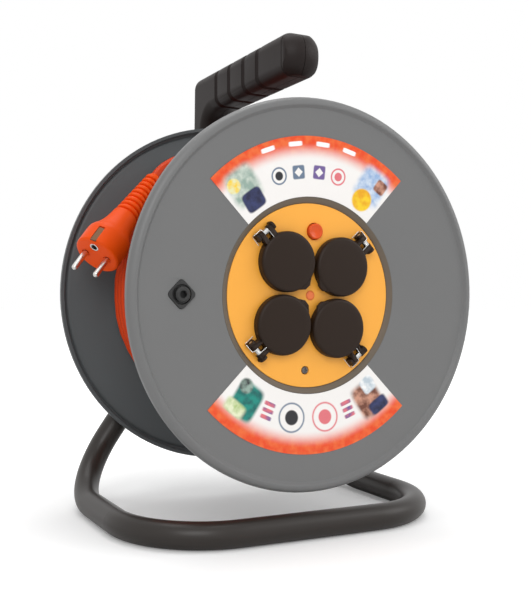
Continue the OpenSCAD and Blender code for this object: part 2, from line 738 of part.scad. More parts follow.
// Straight insulated wire runs with round joints through a list of points.
module wire(p) for (k = [0:len(p) - 2]) {
    d = p[k + 1] - p[k];
    translate(p[k]) rotate([0, acos(d[2] / norm(d)), atan2(d[1], d[0])])
        cylinder(r = wire_r, h = norm(d), $fn = 20);
    if (k > 0) translate(p[k]) sphere(r = wire_r, $fn = 20);
}

wire_y = core_entry_y + 1;
back_y = 52.6;
ring_back = ring_y + 1.2;

module wire_live() color("#7a4a24") pattern()
    wire([[-50, wire_y, 1.9], [-48.5, wire_y, 1.9], [-48.5, back_y, 1.9], [-4, back_y, 48],
        [-4, 50, 48]]);
module wire_neutral() color("#3b6fb5") pattern()
    wire([[-50, wire_y, -1.9], [-48.5, wire_y, -1.9], [-48.5, back_y, -1.9],
        [-23.1, back_y, -1.9], [-23.1, ring_back, -1.9]]);
module wire_earth() color("#6fa33c") pattern()
    wire([[-50, wire_y - 3.2, 0], [-46.4, wire_y - 3.2, 0], [-46.4, 42.2, 0],
        [-socket_off, 42.2, 0], [-socket_off, strap_y + 1.8, 0]]);
module wire_link() color("#7a4a24") pattern()
    wire([[7.5, 45, 44], [13, 45, 44], [13, ring_back + 0.7, 40]]);

// ---- Cable, plug -------------------------------------------------------------
coil_y1 = coil_y0 - 3.9;
module cable_coil() color("#ff5a10") at_axle() turned() polygon([
    [core_r, coil_y0], [core_r + 3.6, coil_y0], [core_r + 8, coil_y1], [coil_r, coil_y1],
    [coil_r, drum_w - coil_y1], [core_r + 8, drum_w - coil_y1],
    [core_r + 3.6, drum_w - coil_y0], [core_r, drum_w - coil_y0]]);

function spot(q) = [q[1] * cos(q[0]), q[2], q[1] * sin(q[0])];
function smooth(a, b, c, d, t) = 0.5 * (2 * b + (c - a) * t + (2 * a - 5 * b + 4 * c - d) * t * t
    + (3 * b - a - 3 * c + d) * t * t * t);
steps = 4;
last = len(tail) - 1;
tail_line = concat([for (k = [0:last - 1], t = [0:steps - 1]) smooth(
    spot(tail[max(k - 1, 0)]), spot(tail[k]), spot(tail[k + 1]),
    spot(tail[min(k + 2, last)]), t / steps)], [spot(tail[last])]);
function unit(v) = v / norm(v);
sides = 12;
ends = len(tail_line) - 1;
tail_rings = [for (k = [0:ends])
    let (t = unit(tail_line[min(k + 1, ends)] - tail_line[max(k - 1, 0)]),
        u = unit(cross(t, [0, 1, 0])), v = cross(t, u))
    [for (s = [0:sides - 1]) tail_line[k]
        + tail_r * (cos(360 * s / sides) * u + sin(360 * s / sides) * v)]];

module cable_tail() color("#ff5a10") at_axle() polyhedron(
    points = [for (ring = tail_rings) each ring],
    faces = concat([[for (s = [0:sides - 1]) s]],
        [for (k = [0:ends - 1], s = [0:sides - 1])
            let (n = (s + 1) % sides)
            [k * sides + n, k * sides + s, (k + 1) * sides + s, (k + 1) * sides + n]],
        [[for (s = [sides - 1:-1:0]) ends * sides + s]]));

module at_plug() at_axle() translate(plug_at) rotate(plug_turn) children();

module plug_body() color("#ff5a10") at_plug() difference() {
    rotate_extrude($fn = 64) polygon([[0, -plug_len], [neck_r, -plug_len],
        [neck_r + 1.5, -plug_len + 10], [plug_d / 2 - 2.5, -23], [plug_d / 2, -19],
        [plug_d / 2, -2], [plug_d / 2 - 1.6, 0], [0, 0]]);
    for (s = [-1, 1]) {
        translate([s * pin_pitch / 2, 0, -14])
            cylinder(r = pin_d / 2 - pin_step, h = 20, $fn = 32);
        block([-2.4, s > 0 ? plug_d / 2 - 1.6 : -plug_d / 2 - 1, -14],
            [2.4, s > 0 ? plug_d / 2 + 1 : -plug_d / 2 + 1.6, 1]);
    }
    translate([0, 10, -12]) cylinder(r = 2.4, h = 13, $fn = 32);
}

module plug_relief() color("#ff5a10") at_plug() difference() {
    union() {
        rotate_extrude($fn = 48) polygon([[0, -plug_len - relief_len],
            [relief_r, -plug_len - relief_len], [neck_r - 1.5, -plug_len], [0, -plug_len]]);
        for (k = [1:5]) translate([0, 0, -plug_len - k * 8])
            cylinder(r = neck_r - 0.4 - k * 0.55, h = 3.4, $fn = 48);
    }
}

module plug_pins() color("#c9c9c4") at_plug() for (s = [-1, 1])
    translate([s * pin_pitch / 2, 0, 0]) {
        translate([0, 0, -14]) cylinder(r = pin_d / 2 - pin_step, h = 15, $fn = 32);
        cylinder(r = pin_d / 2, h = pin_len - pin_d / 2, $fn = 32);
        translate([0, 0, pin_len - pin_d / 2]) sphere(r = pin_d / 2, $fn = 32);
    }

module plug_earth_strips() color("#c9c9c4") at_plug() for (s = [-1, 1])
    block([-2.4, s > 0 ? plug_d / 2 - 1.6 : -plug_d / 2 + 0.6, -14],
        [2.4, s > 0 ? plug_d / 2 - 0.6 : -plug_d / 2 + 1.6, -0.4]);

module socket_well_1() socket_well(45);
module socket_well_2() socket_well(135);
module socket_well_3() socket_well(225);
module socket_well_4() socket_well(315);
module earth_contact_1() earth_contact(45);
module earth_contact_2() earth_contact(135);
module earth_contact_3() earth_contact(225);
module earth_contact_4() earth_contact(315);
module lid_1() lid(45);
module lid_2() lid(135);
module lid_3() lid(225);
module lid_4() lid(315);
module lid_seal_1() lid_seal(45);
module lid_seal_2() lid_seal(135);
module lid_seal_3() lid_seal(225);
module lid_seal_4() lid_seal(315);

stand_tube();
hub_plate();
axle();
axle_washer();
axle_screw();
thrust_washer();
grip_left();
grip_right();
grip_screws();
front_flange();
front_core();
rear_core();
rear_flange();
drum_screws();
axle_bush_front();
axle_bush_rear();
panel_gasket();
socket_panel();
lid_pins();
lid_springs();
panel_screws();
socket_well_1();
socket_well_2();
socket_well_3();
socket_well_4();
earth_contact_1();
earth_contact_2();
earth_contact_3();
earth_contact_4();
earth_ring();
live_strip();
neutral_strip();
cutout_body();
reset_button();
knob_socket();
label_top();
label_bottom();
lid_1();
lid_2();
lid_3();
lid_4();
lid_seal_1();
lid_seal_2();
lid_seal_3();
lid_seal_4();
cord_gland();
cable_inner();
cord_clamp();
clamp_screws();
wire_live();
wire_neutral();
wire_earth();
wire_link();
cable_coil();
cable_tail();
plug_body();
plug_relief();
plug_pins();
plug_earth_strips();
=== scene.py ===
import math

import bpy
from mathutils import Euler, Matrix, Vector


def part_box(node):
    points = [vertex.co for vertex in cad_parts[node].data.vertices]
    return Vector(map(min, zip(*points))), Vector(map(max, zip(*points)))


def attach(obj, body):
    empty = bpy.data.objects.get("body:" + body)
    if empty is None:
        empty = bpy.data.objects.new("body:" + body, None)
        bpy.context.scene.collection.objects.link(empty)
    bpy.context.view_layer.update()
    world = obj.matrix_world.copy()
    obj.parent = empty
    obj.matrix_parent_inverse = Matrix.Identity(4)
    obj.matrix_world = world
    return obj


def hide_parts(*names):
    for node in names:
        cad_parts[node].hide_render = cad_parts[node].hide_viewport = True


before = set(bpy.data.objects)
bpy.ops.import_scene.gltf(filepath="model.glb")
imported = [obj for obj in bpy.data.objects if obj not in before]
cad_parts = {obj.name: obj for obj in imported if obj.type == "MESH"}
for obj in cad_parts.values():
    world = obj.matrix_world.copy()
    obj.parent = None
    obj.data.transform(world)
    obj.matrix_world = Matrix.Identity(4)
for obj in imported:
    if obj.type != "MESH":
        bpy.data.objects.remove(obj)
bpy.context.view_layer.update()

bpy.ops.object.select_all(action="DESELECT")

# ---- Camera -------------------------------------------------------------------
# A normal lens at axle height, well to the left of the socket side. It is placed from
# the drum, whose axle runs along +Y through the middle of its flanges.
drum_low, drum_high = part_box("front_flange")
front_rim_y = drum_low[1]
axle_z = (drum_low[2] + drum_high[2]) / 2
CAMERA_LEFT, CAMERA_AWAY, CAMERA_RISE = 0.3538, 0.593, 0.00558
CAMERA_YAW, CAMERA_PITCH, CAMERA_ROLL = 27.69, -0.77, 0.77
camera_data = bpy.data.cameras.new("camera")
camera_data.lens = 56.49
camera = bpy.data.objects.new("camera", camera_data)
bpy.context.scene.collection.objects.link(camera)
camera.matrix_world = (
    Matrix.Translation((-CAMERA_LEFT, front_rim_y - CAMERA_AWAY, axle_z + CAMERA_RISE))
    @ Matrix.Rotation(math.radians(-CAMERA_YAW), 4, "Z")
    @ Matrix.Rotation(math.radians(90 + CAMERA_PITCH), 4, "X")
    @ Matrix.Rotation(math.radians(CAMERA_ROLL), 4, "Z"))
bpy.context.scene.camera = camera

# ---- Cable --------------------------------------------------------------------
# Round orange rubber cable, wound in five layers on the core from the gland at the
# front. The last turn climbs off the winding and ends in the plug.

# Sizes are in mm, angles in degrees from +X, and depths are measured back from the rim.
MM = 0.001
CABLE_D = 7.6
LAYERS, LAYER_STEP, FIRST_LAYER_R = 5, 6.9, 71.8
WINDING_PITCH, STEPS_PER_TURN = 7.7, 14
WINDING_FRONT, WINDING_BACK = 16.4, 154.6
GLAND_ANGLE, GLAND_DEPTH = 176.5, 24
CLIMB_TURN, CLIMB_STEPS = 100, 5
CLIMB_FOOT_R, CLIMB_ROUND, CLIMB_LIFT = 99.4, 7.8, 95
CLIMB_DEPTH, CLIMB_DRIFT = 146.9, 2.1
# The free end as (angle from where the climb ends, radius, depth).
TAIL = [(0, 107.2, 148), (12, 107.2, 148.8), (24, 107.2, 150), (36, 107.4, 151.5),
        (48, 108, 153), (60, 109.2, 154.5), (70, 111, 155.7), (80, 113.8, 156.6),
        (88, 116.6, 157.2), (96, 119.3, 157.5), (104, 121.7, 157.5), (111, 122.8, 157),
        (117, 122.6, 155.3), (122, 121.5, 152.8), (126.1, 119.5, 149.8)]


def on_drum(radius, angle, depth):
    """A place on the drum, by its distance from the axle, its angle and its depth."""
    a = math.radians(angle)
    return Vector((radius * math.cos(a) * MM, front_rim_y + depth * MM,
                   axle_z + radius * math.sin(a) * MM))


def wound_turns():
    """The winding as (angle, radius, depth), layer upon layer, back and forth."""
    turns, angle = [], GLAND_ANGLE
    for layer in range(LAYERS):
        start, end = WINDING_FRONT, WINDING_BACK
        if layer % 2:
            start, end = end, start
        if layer == 0:
            start = GLAND_DEPTH
        count = round(abs(end - start) / WINDING_PITCH * STEPS_PER_TURN)
        for k in range(count + 1):
            turns.append((angle, FIRST_LAYER_R + LAYER_STEP * layer,
                          start + (end - start) * k / count))
            angle += 360 / STEPS_PER_TURN
        angle += 360 / STEPS_PER_TURN
    return turns


winding = wound_turns()
# Each step of the winding is stretched a little, so that it ends where the climb starts.
spare_turn = (TAIL[0][0] - CLIMB_TURN - winding[-1][0]) % 360
winding = [(angle + spare_turn * (k / (len(winding) - 1)), radius, depth)
           for k, (angle, radius, depth) in enumerate(winding)]
climb_start = winding[-1][0]
climb = []
for k in range(1, CLIMB_STEPS):
    done = k / CLIMB_STEPS
    lift = math.radians(CLIMB_LIFT * done)
    climb.append((climb_start + CLIMB_TURN * done, CLIMB_FOOT_R + CLIMB_ROUND * math.sin(lift),
                  CLIMB_DEPTH + CLIMB_DRIFT * done + CLIMB_ROUND * math.cos(lift)))
tail = [(climb_start + CLIMB_TURN + angle, radius, depth) for angle, radius, depth in TAIL]
route = winding + climb + tail

cable_curve = bpy.data.curves.new("cable", "CURVE")
cable_curve.dimensions = "3D"
cable_curve.bevel_resolution = 3
cable_curve.resolution_u = 3
cable_curve.use_fill_caps = True
spline = cable_curve.splines.new("BEZIER")
spline.bezier_points.add(len(route) - 1)
for point, (angle, radius, depth) in zip(spline.bezier_points, route):
    point.co = on_drum(radius, angle, depth)
    point.handle_left_type = point.handle_right_type = "AUTO"
cable = bpy.data.objects.new("cable", cable_curve)
bpy.context.scene.collection.objects.link(cable)
# The bare line gives the centres of the tube's rings.
bpy.context.view_layer.update()
centres = [vertex.co.copy() for vertex in cable.to_mesh().vertices]
cable.to_mesh_clear()
cable_curve.bevel_depth = CABLE_D / 2 * MM
cable.select_set(True)
bpy.context.view_layer.objects.active = cable
bpy.ops.object.convert(target="MESH")
bpy.ops.object.shade_smooth()


def feed(tree, node, inputs):
    """Gives each input of a node its value, or links the socket that feeds it."""
    for name, value in inputs.items():
        if isinstance(value, bpy.types.NodeSocket):
            tree.links.new(value, node.inputs[name])
        else:
            node.inputs[name].default_value = value
    return node


def add_node(tree, kind, inputs, **settings):
    """A new shader node with its settings made and its inputs fed."""
    node = tree.nodes.new("ShaderNode" + kind)
    for name, value in settings.items():
        setattr(node, name, value)
    return feed(tree, node, inputs)


def maths(tree, operation, first, second):
    """The result of a Math node on two values or sockets."""
    return add_node(tree, "Math", {0: first, 1: second}, operation=operation).outputs[0]


def new_group(name, inputs, outputs):
    """An empty node group, with the sockets that it is given and those that it feeds."""
    group = bpy.data.node_groups.new(name, "ShaderNodeTree")
    for socket, kind, value in inputs:
        made = group.interface.new_socket(socket, in_out="INPUT", socket_type="NodeSocket" + kind)
        if value is not None:
            made.default_value = value
    for socket, kind in outputs:
        group.interface.new_socket(socket, in_out="OUTPUT", socket_type="NodeSocket" + kind)
    return group, group.nodes.new("NodeGroupInput").outputs, group.nodes.new("NodeGroupOutput")


def moulded_grain_group():
    """The fine even grain of a mould or a plating, polished unevenly by handling."""
    group, given, put = new_group(
        "moulded grain",
        [("Color", "Color", (0.2, 0.2, 0.2, 1)), ("Roughness", "Float", 0.4),
         ("Grain Size", "Float", 900.0), ("Mottle", "Float", 0.06)],
        [("Color", "Color"), ("Roughness", "Float"), ("Height", "Float")])
    where = add_node(group, "TexCoord", {}).outputs["Object"]
    grain = add_node(group, "TexNoise",
                     {"Vector": where, "Scale": given["Grain Size"], "Detail": 2.0})
    cloud = add_node(group, "TexNoise", {"Vector": where, "Scale": 14.0, "Detail": 4.0})
    uneven = maths(group, "MULTIPLY", maths(group, "SUBTRACT", cloud.outputs["Fac"], 0.5),
                   given["Mottle"])
    shade = add_node(group, "HueSaturation",
                     {"Color": given["Color"], "Value": maths(group, "ADD", uneven, 1.0)})
    feed(group, put, {"Color": shade.outputs["Color"],
                      "Roughness": maths(group, "ADD", given["Roughness"], uneven),
                      "Height": grain.outputs["Fac"]})
    return group


MOULDED_GRAIN = moulded_grain_group()


def grained_material(name, color, roughness, grain_size=900.0, mottle=0.06, depth=0.15,
                     metallic=0.0, shine=0.5):
    """A plastic, rubber or metal finish; depth is how strongly its grain shows."""
    material = bpy.data.materials.new(name)
    material.use_nodes = True
    tree = material.node_tree
    grain = add_node(tree, "Group", {"Color": (*color, 1), "Roughness": roughness,
                                     "Grain Size": grain_size, "Mottle": mottle},
                     node_tree=MOULDED_GRAIN).outputs
    bump = add_node(tree, "Bump",
                    {"Strength": depth, "Distance": 0.0002, "Height": grain["Height"]})
    feed(tree, tree.nodes["Principled BSDF"],
         {"Base Color": grain["Color"], "Roughness": grain["Roughness"], "Metallic": metallic,
          "Specular IOR Level": shine, "Normal": bump.outputs["Normal"]})
    return material


def dress(material, *names):
    for name in names:
        piece = bpy.data.objects[name]
        piece.data.materials.clear()
        piece.data.materials.append(material)


# The cable's deep red-orange is partly its own colour and partly painted shade from between the
# flanges.
cable_orange_painted_shade = grained_material("cable orange with painted shade", (0.64, 0.048, 0.003), 0.45, grain_size=600,
                                mottle=0.05, depth=0.1, shine=0.2)
dress(cable_orange_painted_shade, "cable", "cable_inner")
# Its strong colour would tint the white floor.
cable.visible_diffuse = False
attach(cable, "drum")
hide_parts("cable_coil", "cable_tail")

# ---- Stand --------------------------------------------------------------------
# One bent steel tube makes the handle's arm, the upright, the legs and the foot loop,
# with a plate welded between the legs. Both are coated with semi-gloss black powder.
tube_paint = grained_material("tube paint", (0.026, 0.021, 0.018), 0.36, grain_size=500,
                              mottle=0.04, depth=0.1, shine=0.35)
dress(tube_paint, "stand_tube", "hub_plate")

# ---- Axle, bushes and screws --------------------------------------------------
# A zinc-plated steel axle is fixed to the plate, and the drum turns on it in two nylon
# bushes. Zinc-plated screws and pins hold the drum, the grip, the lids and the clamp.
zinc = grained_material("zinc plate", (0.6, 0.6, 0.61), 0.3, grain_size=700, mottle=0.1,
                        depth=0.05, metallic=1)
nylon = grained_material("natural nylon", (0.82, 0.8, 0.74), 0.5)
dress(zinc, "axle", "axle_washer", "axle_screw", "grip_screws", "drum_screws", "lid_pins",
      "clamp_screws")
dress(nylon, "thrust_washer", "axle_bush_front", "axle_bush_rear")

# ---- Drum halves --------------------------------------------------------------
# Each half is one grey moulding: a dished flange with its rim rolled back, and half
# of the core. The halves meet in the middle, under the cable.
FLANGE_R, WALL, DRUM_WIDTH = 145, 3, 171
HUB_R, DISH_START_R = 72.7, 137
RIM_FALL, DISH = 2.5, 5.5
HUB_FACE = RIM_FALL + DISH
LIP_R, LIP_WALL, LIP_BACK = 5, 2.6, 8
LIP_CENTRE = (FLANGE_R - LIP_R, LIP_R)
CORE_R, CORE_WALL, CORE_ROOT = 68, 2.5, 16.5
CORE_IN, CORE_END = CORE_R - CORE_WALL, DRUM_WIDTH / 2
LEDGE_R, SEAT_R = 62, 68.4
SEAT_BACK, LEDGE_FACE = 11, 13
BUSH_R, BUSH_BOSS_R, BUSH_BOSS_REACH, BUSH_BOSS_IN = 10.55, 13.55, 1.15, 50
SCREW_WELL_OFF, SCREW_WELL_R, SCREW_WELL_WALL, SCREW_WELL_DEEP = 59, 5, 1.6, 76
KNOB_OFF, KNOB_SEAT, KNOB_CORNER, KNOB_FIELD = 105, 16, 3, 13
PATTERN_TURN = math.radians(-3.5)
AT_HUB = Matrix.Translation((0, front_rim_y, axle_z))
AT_KNOB = (Matrix.Translation((-KNOB_OFF * MM, 0, 0))
           @ Matrix.Rotation(math.radians(45), 4, "Y"))
drum_grey = grained_material("drum grey", (0.157, 0.158, 0.158), 0.42)
# A darker copy of the same grey plastic for the rear half: painted shade on the rear flange's
# inner face.
rear_grey_painted_shade = grained_material("rear drum grey, painted shade", (0.095, 0.102, 0.106), 0.45, shine=0.35)


def face_depth(radius):
    """How far the flange face lies behind the rim's crest."""
    return RIM_FALL + (DISH_START_R - radius) / (DISH_START_R - HUB_R) * DISH


def arc(centre, radius, start, end, steps):
    """Points of a round corner; depth falls as the angle rises."""
    angles = [math.radians(start + (end - start) * k / steps) for k in range(steps + 1)]
    return [(centre[0] + radius * math.cos(a), centre[1] - radius * math.sin(a))
            for a in angles]


def pick(*pieces):
    """Selects these pieces alone, and makes the first one active."""
    bpy.ops.object.select_all(action="DESELECT")
    for piece in pieces:
        piece.select_set(True)
    if pieces:
        bpy.context.view_layer.objects.active = pieces[0]


def outlined(name, corners):
    """A closed loop of edges through the corners, in mm, left in edit mode."""
    pick()
    bpy.ops.mesh.primitive_plane_add(size=0.01, location=(0, 0, 0))
    piece = bpy.context.object
    piece.name = name
    bpy.ops.object.mode_set(mode="EDIT")
    bpy.ops.mesh.merge(type="CENTER")
    corners = [Vector(corner) * MM for corner in corners]
    bpy.ops.transform.translate(value=corners[0])
    for here, there in zip(corners, corners[1:] + corners[:1]):
        bpy.ops.mesh.extrude_region_move(TRANSFORM_OT_translate={"value": there - here})
    bpy.ops.mesh.select_all(action="SELECT")
    bpy.ops.mesh.remove_doubles(threshold=1e-7)
    return piece


def turned(name, outline, steps=128):
    """Spins a closed outline of (radius, depth) in mm round the drum's axle."""
    piece = outlined(name, [(r, y, 0) for r, y in outline])
    bpy.ops.mesh.spin(steps=steps, angle=2 * math.pi, center=(0, 0, 0), axis=(0, 1, 0))
    bpy.ops.mesh.select_all(action="SELECT")
    bpy.ops.mesh.remove_doubles(threshold=1e-6)
    bpy.ops.mesh.normals_make_consistent(inside=False)
    bpy.ops.object.mode_set(mode="OBJECT")
    return piece


def extruded(name, corners, push):
    """Fills a closed outline and pushes it out to a solid, all in mm."""
    piece = outlined(name, corners)
    bpy.ops.mesh.edge_face_add()
    bpy.ops.mesh.extrude_region_move(TRANSFORM_OT_translate={"value": Vector(push) * MM})
    bpy.ops.mesh.select_all(action="SELECT")
    bpy.ops.mesh.normals_make_consistent(inside=False)
    bpy.ops.object.mode_set(mode="OBJECT")
    return piece


def place(piece, *moves):
    """Bakes the moves into the mesh, so the object itself stays at the origin."""
    for move in moves:
        piece.data.transform(move)
    piece.data.update()
    return piece


def soften(piece, width, segments=2, angle=40):
    """Rounds the sharp edges, then shades the faces smooth between them."""
    pick(piece)
    if width:
        edge = piece.modifiers.new("edge", "BEVEL")
        edge.width = width * MM
        edge.segments = segments
        edge.limit_method = "ANGLE"
        edge.angle_limit = math.radians(angle)
        bpy.ops.object.modifier_apply(modifier=edge.name)
    bpy.ops.object.shade_smooth_by_angle(angle=math.radians(angle))
    even = piece.modifiers.new("even", "WEIGHTED_NORMAL")
    even.keep_sharp = True
    bpy.ops.object.modifier_apply(modifier=even.name)


def combine(piece, tools, operation):
    """Cuts or joins the piece with the tool shapes, and removes the tools."""
    for tool in tools:
        pick(piece)
        step = piece.modifiers.new("step", "BOOLEAN")
        step.operation = operation
        step.solver = "EXACT"
        step.object = tool
        bpy.ops.object.modifier_apply(modifier=step.name)
        bpy.data.objects.remove(tool)


def join(pieces, name):
    """Joins the pieces into the first one, under a new name."""
    pick(*pieces)
    bpy.ops.object.join()
    pieces[0].name = name
    return pieces[0]


def finish(piece, body, material, slot, *nodes):
    """Gives a piece its material and its body, and hides the nodes it stands for. The slot is not
    used.
    """
    dress(material, piece.name)
    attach(piece, body)
    if nodes:
        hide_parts(*nodes)


def round_square(half_x, half_z, corner, depth, steps):
    """The outline of a bar with round corners, across the axle's direction."""
    spots = []
    for quarter, (side_x, side_z) in enumerate([(1, 1), (-1, 1), (-1, -1), (1, -1)]):
        for k in range(steps + 1):
            a = math.radians(90 * quarter + 90 / steps * k)
            spots.append((side_x * half_x + corner * math.cos(a), depth,
                          side_z * half_z + corner * math.sin(a)))
    return spots


# The knob's seat lies in the dished face, between two rings of points that keep the
# face evenly shaded.
flange_outline = (
    [(r, face_depth(r)) for r in (HUB_R, KNOB_OFF - KNOB_FIELD, KNOB_OFF + KNOB_FIELD,
                                  DISH_START_R)]
    + arc(LIP_CENTRE, LIP_R, 100, 0, 9)
    + [(FLANGE_R, LIP_BACK), (FLANGE_R - LIP_WALL, LIP_BACK)]
    + arc(LIP_CENTRE, LIP_R - LIP_WALL, 0, 90, 5)
    + [(DISH_START_R, RIM_FALL + WALL), (CORE_R + 8, face_depth(CORE_R + 8) + WALL),
       (CORE_R + 3, CORE_ROOT - 0.5), (CORE_R, CORE_ROOT)])
front_half = turned("front_drum_moulding",
                    [(LEDGE_R, LEDGE_FACE), (SEAT_R, LEDGE_FACE), (SEAT_R, SEAT_BACK),
                     (HUB_R, SEAT_BACK)] + flange_outline
                    + [(CORE_R, CORE_END), (CORE_IN, CORE_END), (CORE_IN, CORE_ROOT),
                       (LEDGE_R, CORE_ROOT)])
KNOB_FLAT = KNOB_SEAT / 2 - KNOB_CORNER
pocket = extruded("pocket", round_square(KNOB_FLAT, KNOB_FLAT, KNOB_CORNER, -5, 5), (0, 25, 0))
combine(front_half, [place(pocket, AT_KNOB)], "DIFFERENCE")
place(front_half, AT_HUB)
soften(front_half, 0.35)
finish(front_half, "drum", drum_grey, "drum_grey", "front_flange", "front_core")

# The rear half is turned as a front half, and then mirrored to the back of the drum.
rear_half = turned("rear_drum_moulding",
                   [(BUSH_R, -BUSH_BOSS_REACH), (BUSH_BOSS_R, -BUSH_BOSS_REACH),
                    (BUSH_BOSS_R, HUB_FACE)] + flange_outline
                   + [(CORE_R, CORE_END), (CORE_IN, CORE_END), (CORE_IN, HUB_FACE + WALL),
                      (BUSH_BOSS_R, HUB_FACE + WALL), (BUSH_BOSS_R, BUSH_BOSS_IN),
                      (BUSH_R, BUSH_BOSS_IN)])


def round_bar(radius, length, middle, sides, lean=0):
    """A round bar along +Z, or leant over about X, with its middle at that place."""
    pick()
    bpy.ops.mesh.primitive_cylinder_add(
        vertices=sides, radius=radius * MM, depth=length * MM,
        location=[value * MM for value in middle], rotation=(math.radians(lean), 0, 0))
    bpy.ops.object.transform_apply(location=True, rotation=True, scale=True)
    return bpy.context.object


def rod(radius, start, end, off=0, sides=64):
    """A round bar along the axle's direction, off mm to the right of it."""
    return round_bar(radius, end - start, (off, (start + end) / 2, 0), sides, 90)


def in_pattern(angle):
    """Turns a shape made at angle 0 of the socket pattern to its place."""
    return Matrix.Rotation(-(PATTERN_TURN + math.radians(angle)), 4, "Y")


def well_posts(radius, start, end):
    """Round posts along the axle, one in each quarter of the drum."""
    at_well = Matrix.Translation((SCREW_WELL_OFF * MM, 0, 0))
    return [place(rod(radius, start, end, sides=48), at_well, in_pattern(quarter))
            for quarter in (0, 90, 180, 270)]


combine(rear_half, well_posts(SCREW_WELL_R + SCREW_WELL_WALL, 10, CORE_END), "UNION")
combine(rear_half, well_posts(SCREW_WELL_R, -5, SCREW_WELL_DEEP), "DIFFERENCE")
place(rear_half, Matrix.Scale(-1, 4, (0, 1, 0)), Matrix.Translation((0, DRUM_WIDTH * MM, 0)),
      AT_HUB)
rear_half.data.flip_normals()
soften(rear_half, 0.35)
# The rear half gets the darker grey, which is painted shade.
finish(rear_half, "drum", rear_grey_painted_shade, "drum_grey", "rear_flange", "rear_core")

# ---- Knob seat ----------------------------------------------------------------
# A winding knob plugs in here: a black square tray with a round socketed boss,
# clipped into the front flange.
TRAY_FRONT, TRAY_DEEP, TRAY_R, TRAY_FLOOR = 4, 7.6, 6.9, 5.7
BOSS_FRONT, BOSS_R, KNOB_HOLE_R, KNOB_HOLE_END = 0.9, 5.4, 2.5, 10
knob_black = grained_material("knob seat black", (0.018, 0.018, 0.018), 0.45)
seat = extruded("knob_seat", round_square(KNOB_FLAT - 0.05, KNOB_FLAT - 0.05, KNOB_CORNER,
                                          TRAY_FRONT, 5), (0, TRAY_DEEP, 0))
hollow = turned("hollow", [(0, -1), (TRAY_R, -1), (TRAY_R, TRAY_FLOOR - 0.3),
                           (TRAY_R - 0.3, TRAY_FLOOR), (0, TRAY_FLOOR)], 64)
combine(seat, [hollow], "DIFFERENCE")
soften(seat, 0.5, 3)
boss = turned("knob_boss", [(KNOB_HOLE_R, BOSS_FRONT + 0.5), (KNOB_HOLE_R + 0.5, BOSS_FRONT),
                            (BOSS_R - 1, BOSS_FRONT), (BOSS_R, BOSS_FRONT + 1),
                            (BOSS_R, KNOB_HOLE_END), (KNOB_HOLE_R, KNOB_HOLE_END)], 64)
soften(boss, 0)
place(seat, AT_KNOB)
place(boss, AT_KNOB)
seat = place(join([seat, boss], "knob_seat"), AT_HUB)
finish(seat, "drum", knob_black, "black_plastic", "knob_socket")

# ---- Socket panel -------------------------------------------------------------
# Amber plastic disc set into the hub behind a dark rubber ring. It carries the four
# sockets, the reset button and, at each socket, two lugs for the lid's hinge pin.
PANEL_R, PANEL_DEPTH, PANEL_T = 68.2, 10, 3
SOCKET_OFF, CUP_R = 32.6, 21.5
SOCKET_ANGLES = (45, 135, 225, 315)
BUTTON_OFF, BUTTON_R = 47.6, 6
FIXING_OFF, FIXING_SEAT_R = 55.6, 3.2
HINGE_OFF, HINGE_DEPTH = 60.6, 6.4
EAR_WIDTH, LUG_R, LUG_T, AIR = 12, 3.1, 2, 0.35
panel_amber = grained_material("panel amber", (0.97, 0.43, 0.05), 0.36)
# The ring's brown-grey is partly the rubber and partly painted shade of the gap round the panel,
# with a painted orange reflection.
seal_rubber_and_painted_shade = grained_material("seal rubber and painted shade", (0.13, 0.1, 0.07), 0.55)
lid_black = grained_material("lid black", (0.021, 0.0115, 0.007), 0.46, shine=0.2)


# Depths between which a round tool cuts right through the panel.
THROUGH = (5, 20)


def bar(low, high):
    """A box between two corners, in mm."""
    pick()
    low, high = Vector(low) * MM, Vector(high) * MM
    bpy.ops.mesh.primitive_cube_add(size=1, location=(low + high) / 2)
    box = bpy.context.object
    box.scale = high - low
    bpy.ops.object.transform_apply(location=True, rotation=True, scale=True)
    return box


def cross_pin(radius, start, end):
    """A round bar along the hinge line of the socket at angle 0."""
    return round_bar(radius, end - start, (HINGE_OFF, HINGE_DEPTH, (start + end) / 2), 48)


panel = rod(PANEL_R, PANEL_DEPTH, PANEL_DEPTH + PANEL_T, sides=128)
cuts = [place(rod(CUP_R, *THROUGH, SOCKET_OFF, 96), in_pattern(a)) for a in SOCKET_ANGLES]
cuts.append(place(rod(BUTTON_R + AIR, *THROUGH, BUTTON_OFF), in_pattern(90)))
cuts.append(rod(FIXING_SEAT_R, 5, PANEL_DEPTH + 1))
cuts.append(place(rod(FIXING_SEAT_R, 5, PANEL_DEPTH + 1.2, FIXING_OFF), in_pattern(270)))
combine(panel, cuts, "DIFFERENCE")
soften(panel, 0.4)
place(panel, AT_HUB)
panel.name = "amber_panel"
finish(panel, "drum", panel_amber, "panel_amber", "socket_panel")

lugs = []
for angle in SOCKET_ANGLES:
    for side in (-1, 1):
        low, high = sorted(side * (EAR_WIDTH / 2 + AIR + thick) for thick in (0, LUG_T))
        lug = cross_pin(LUG_R, low, high)
        combine(lug, [bar((HINGE_OFF - LUG_R, HINGE_DEPTH, low),
                          (HINGE_OFF + LUG_R, PANEL_DEPTH + 1, high))], "UNION")
        place(lug, in_pattern(angle))
        soften(lug, 0.3)
        lugs.append(lug)
lugs = place(join(lugs, "hinge_lugs"), AT_HUB)
finish(lugs, "drum", lid_black, "black_plastic")

ring = turned("panel_ring", [(SEAT_R, PANEL_DEPTH + 0.1), (SEAT_R + 1, PANEL_DEPTH - 0.8),
                             (HUB_R - 0.5, HUB_FACE), (HUB_R, HUB_FACE),
                             (HUB_R, SEAT_BACK), (SEAT_R, SEAT_BACK)])
place(ring, AT_HUB)
soften(ring, 0.2)
finish(ring, "drum", seal_rubber_and_painted_shade, "black_rubber", "panel_gasket")
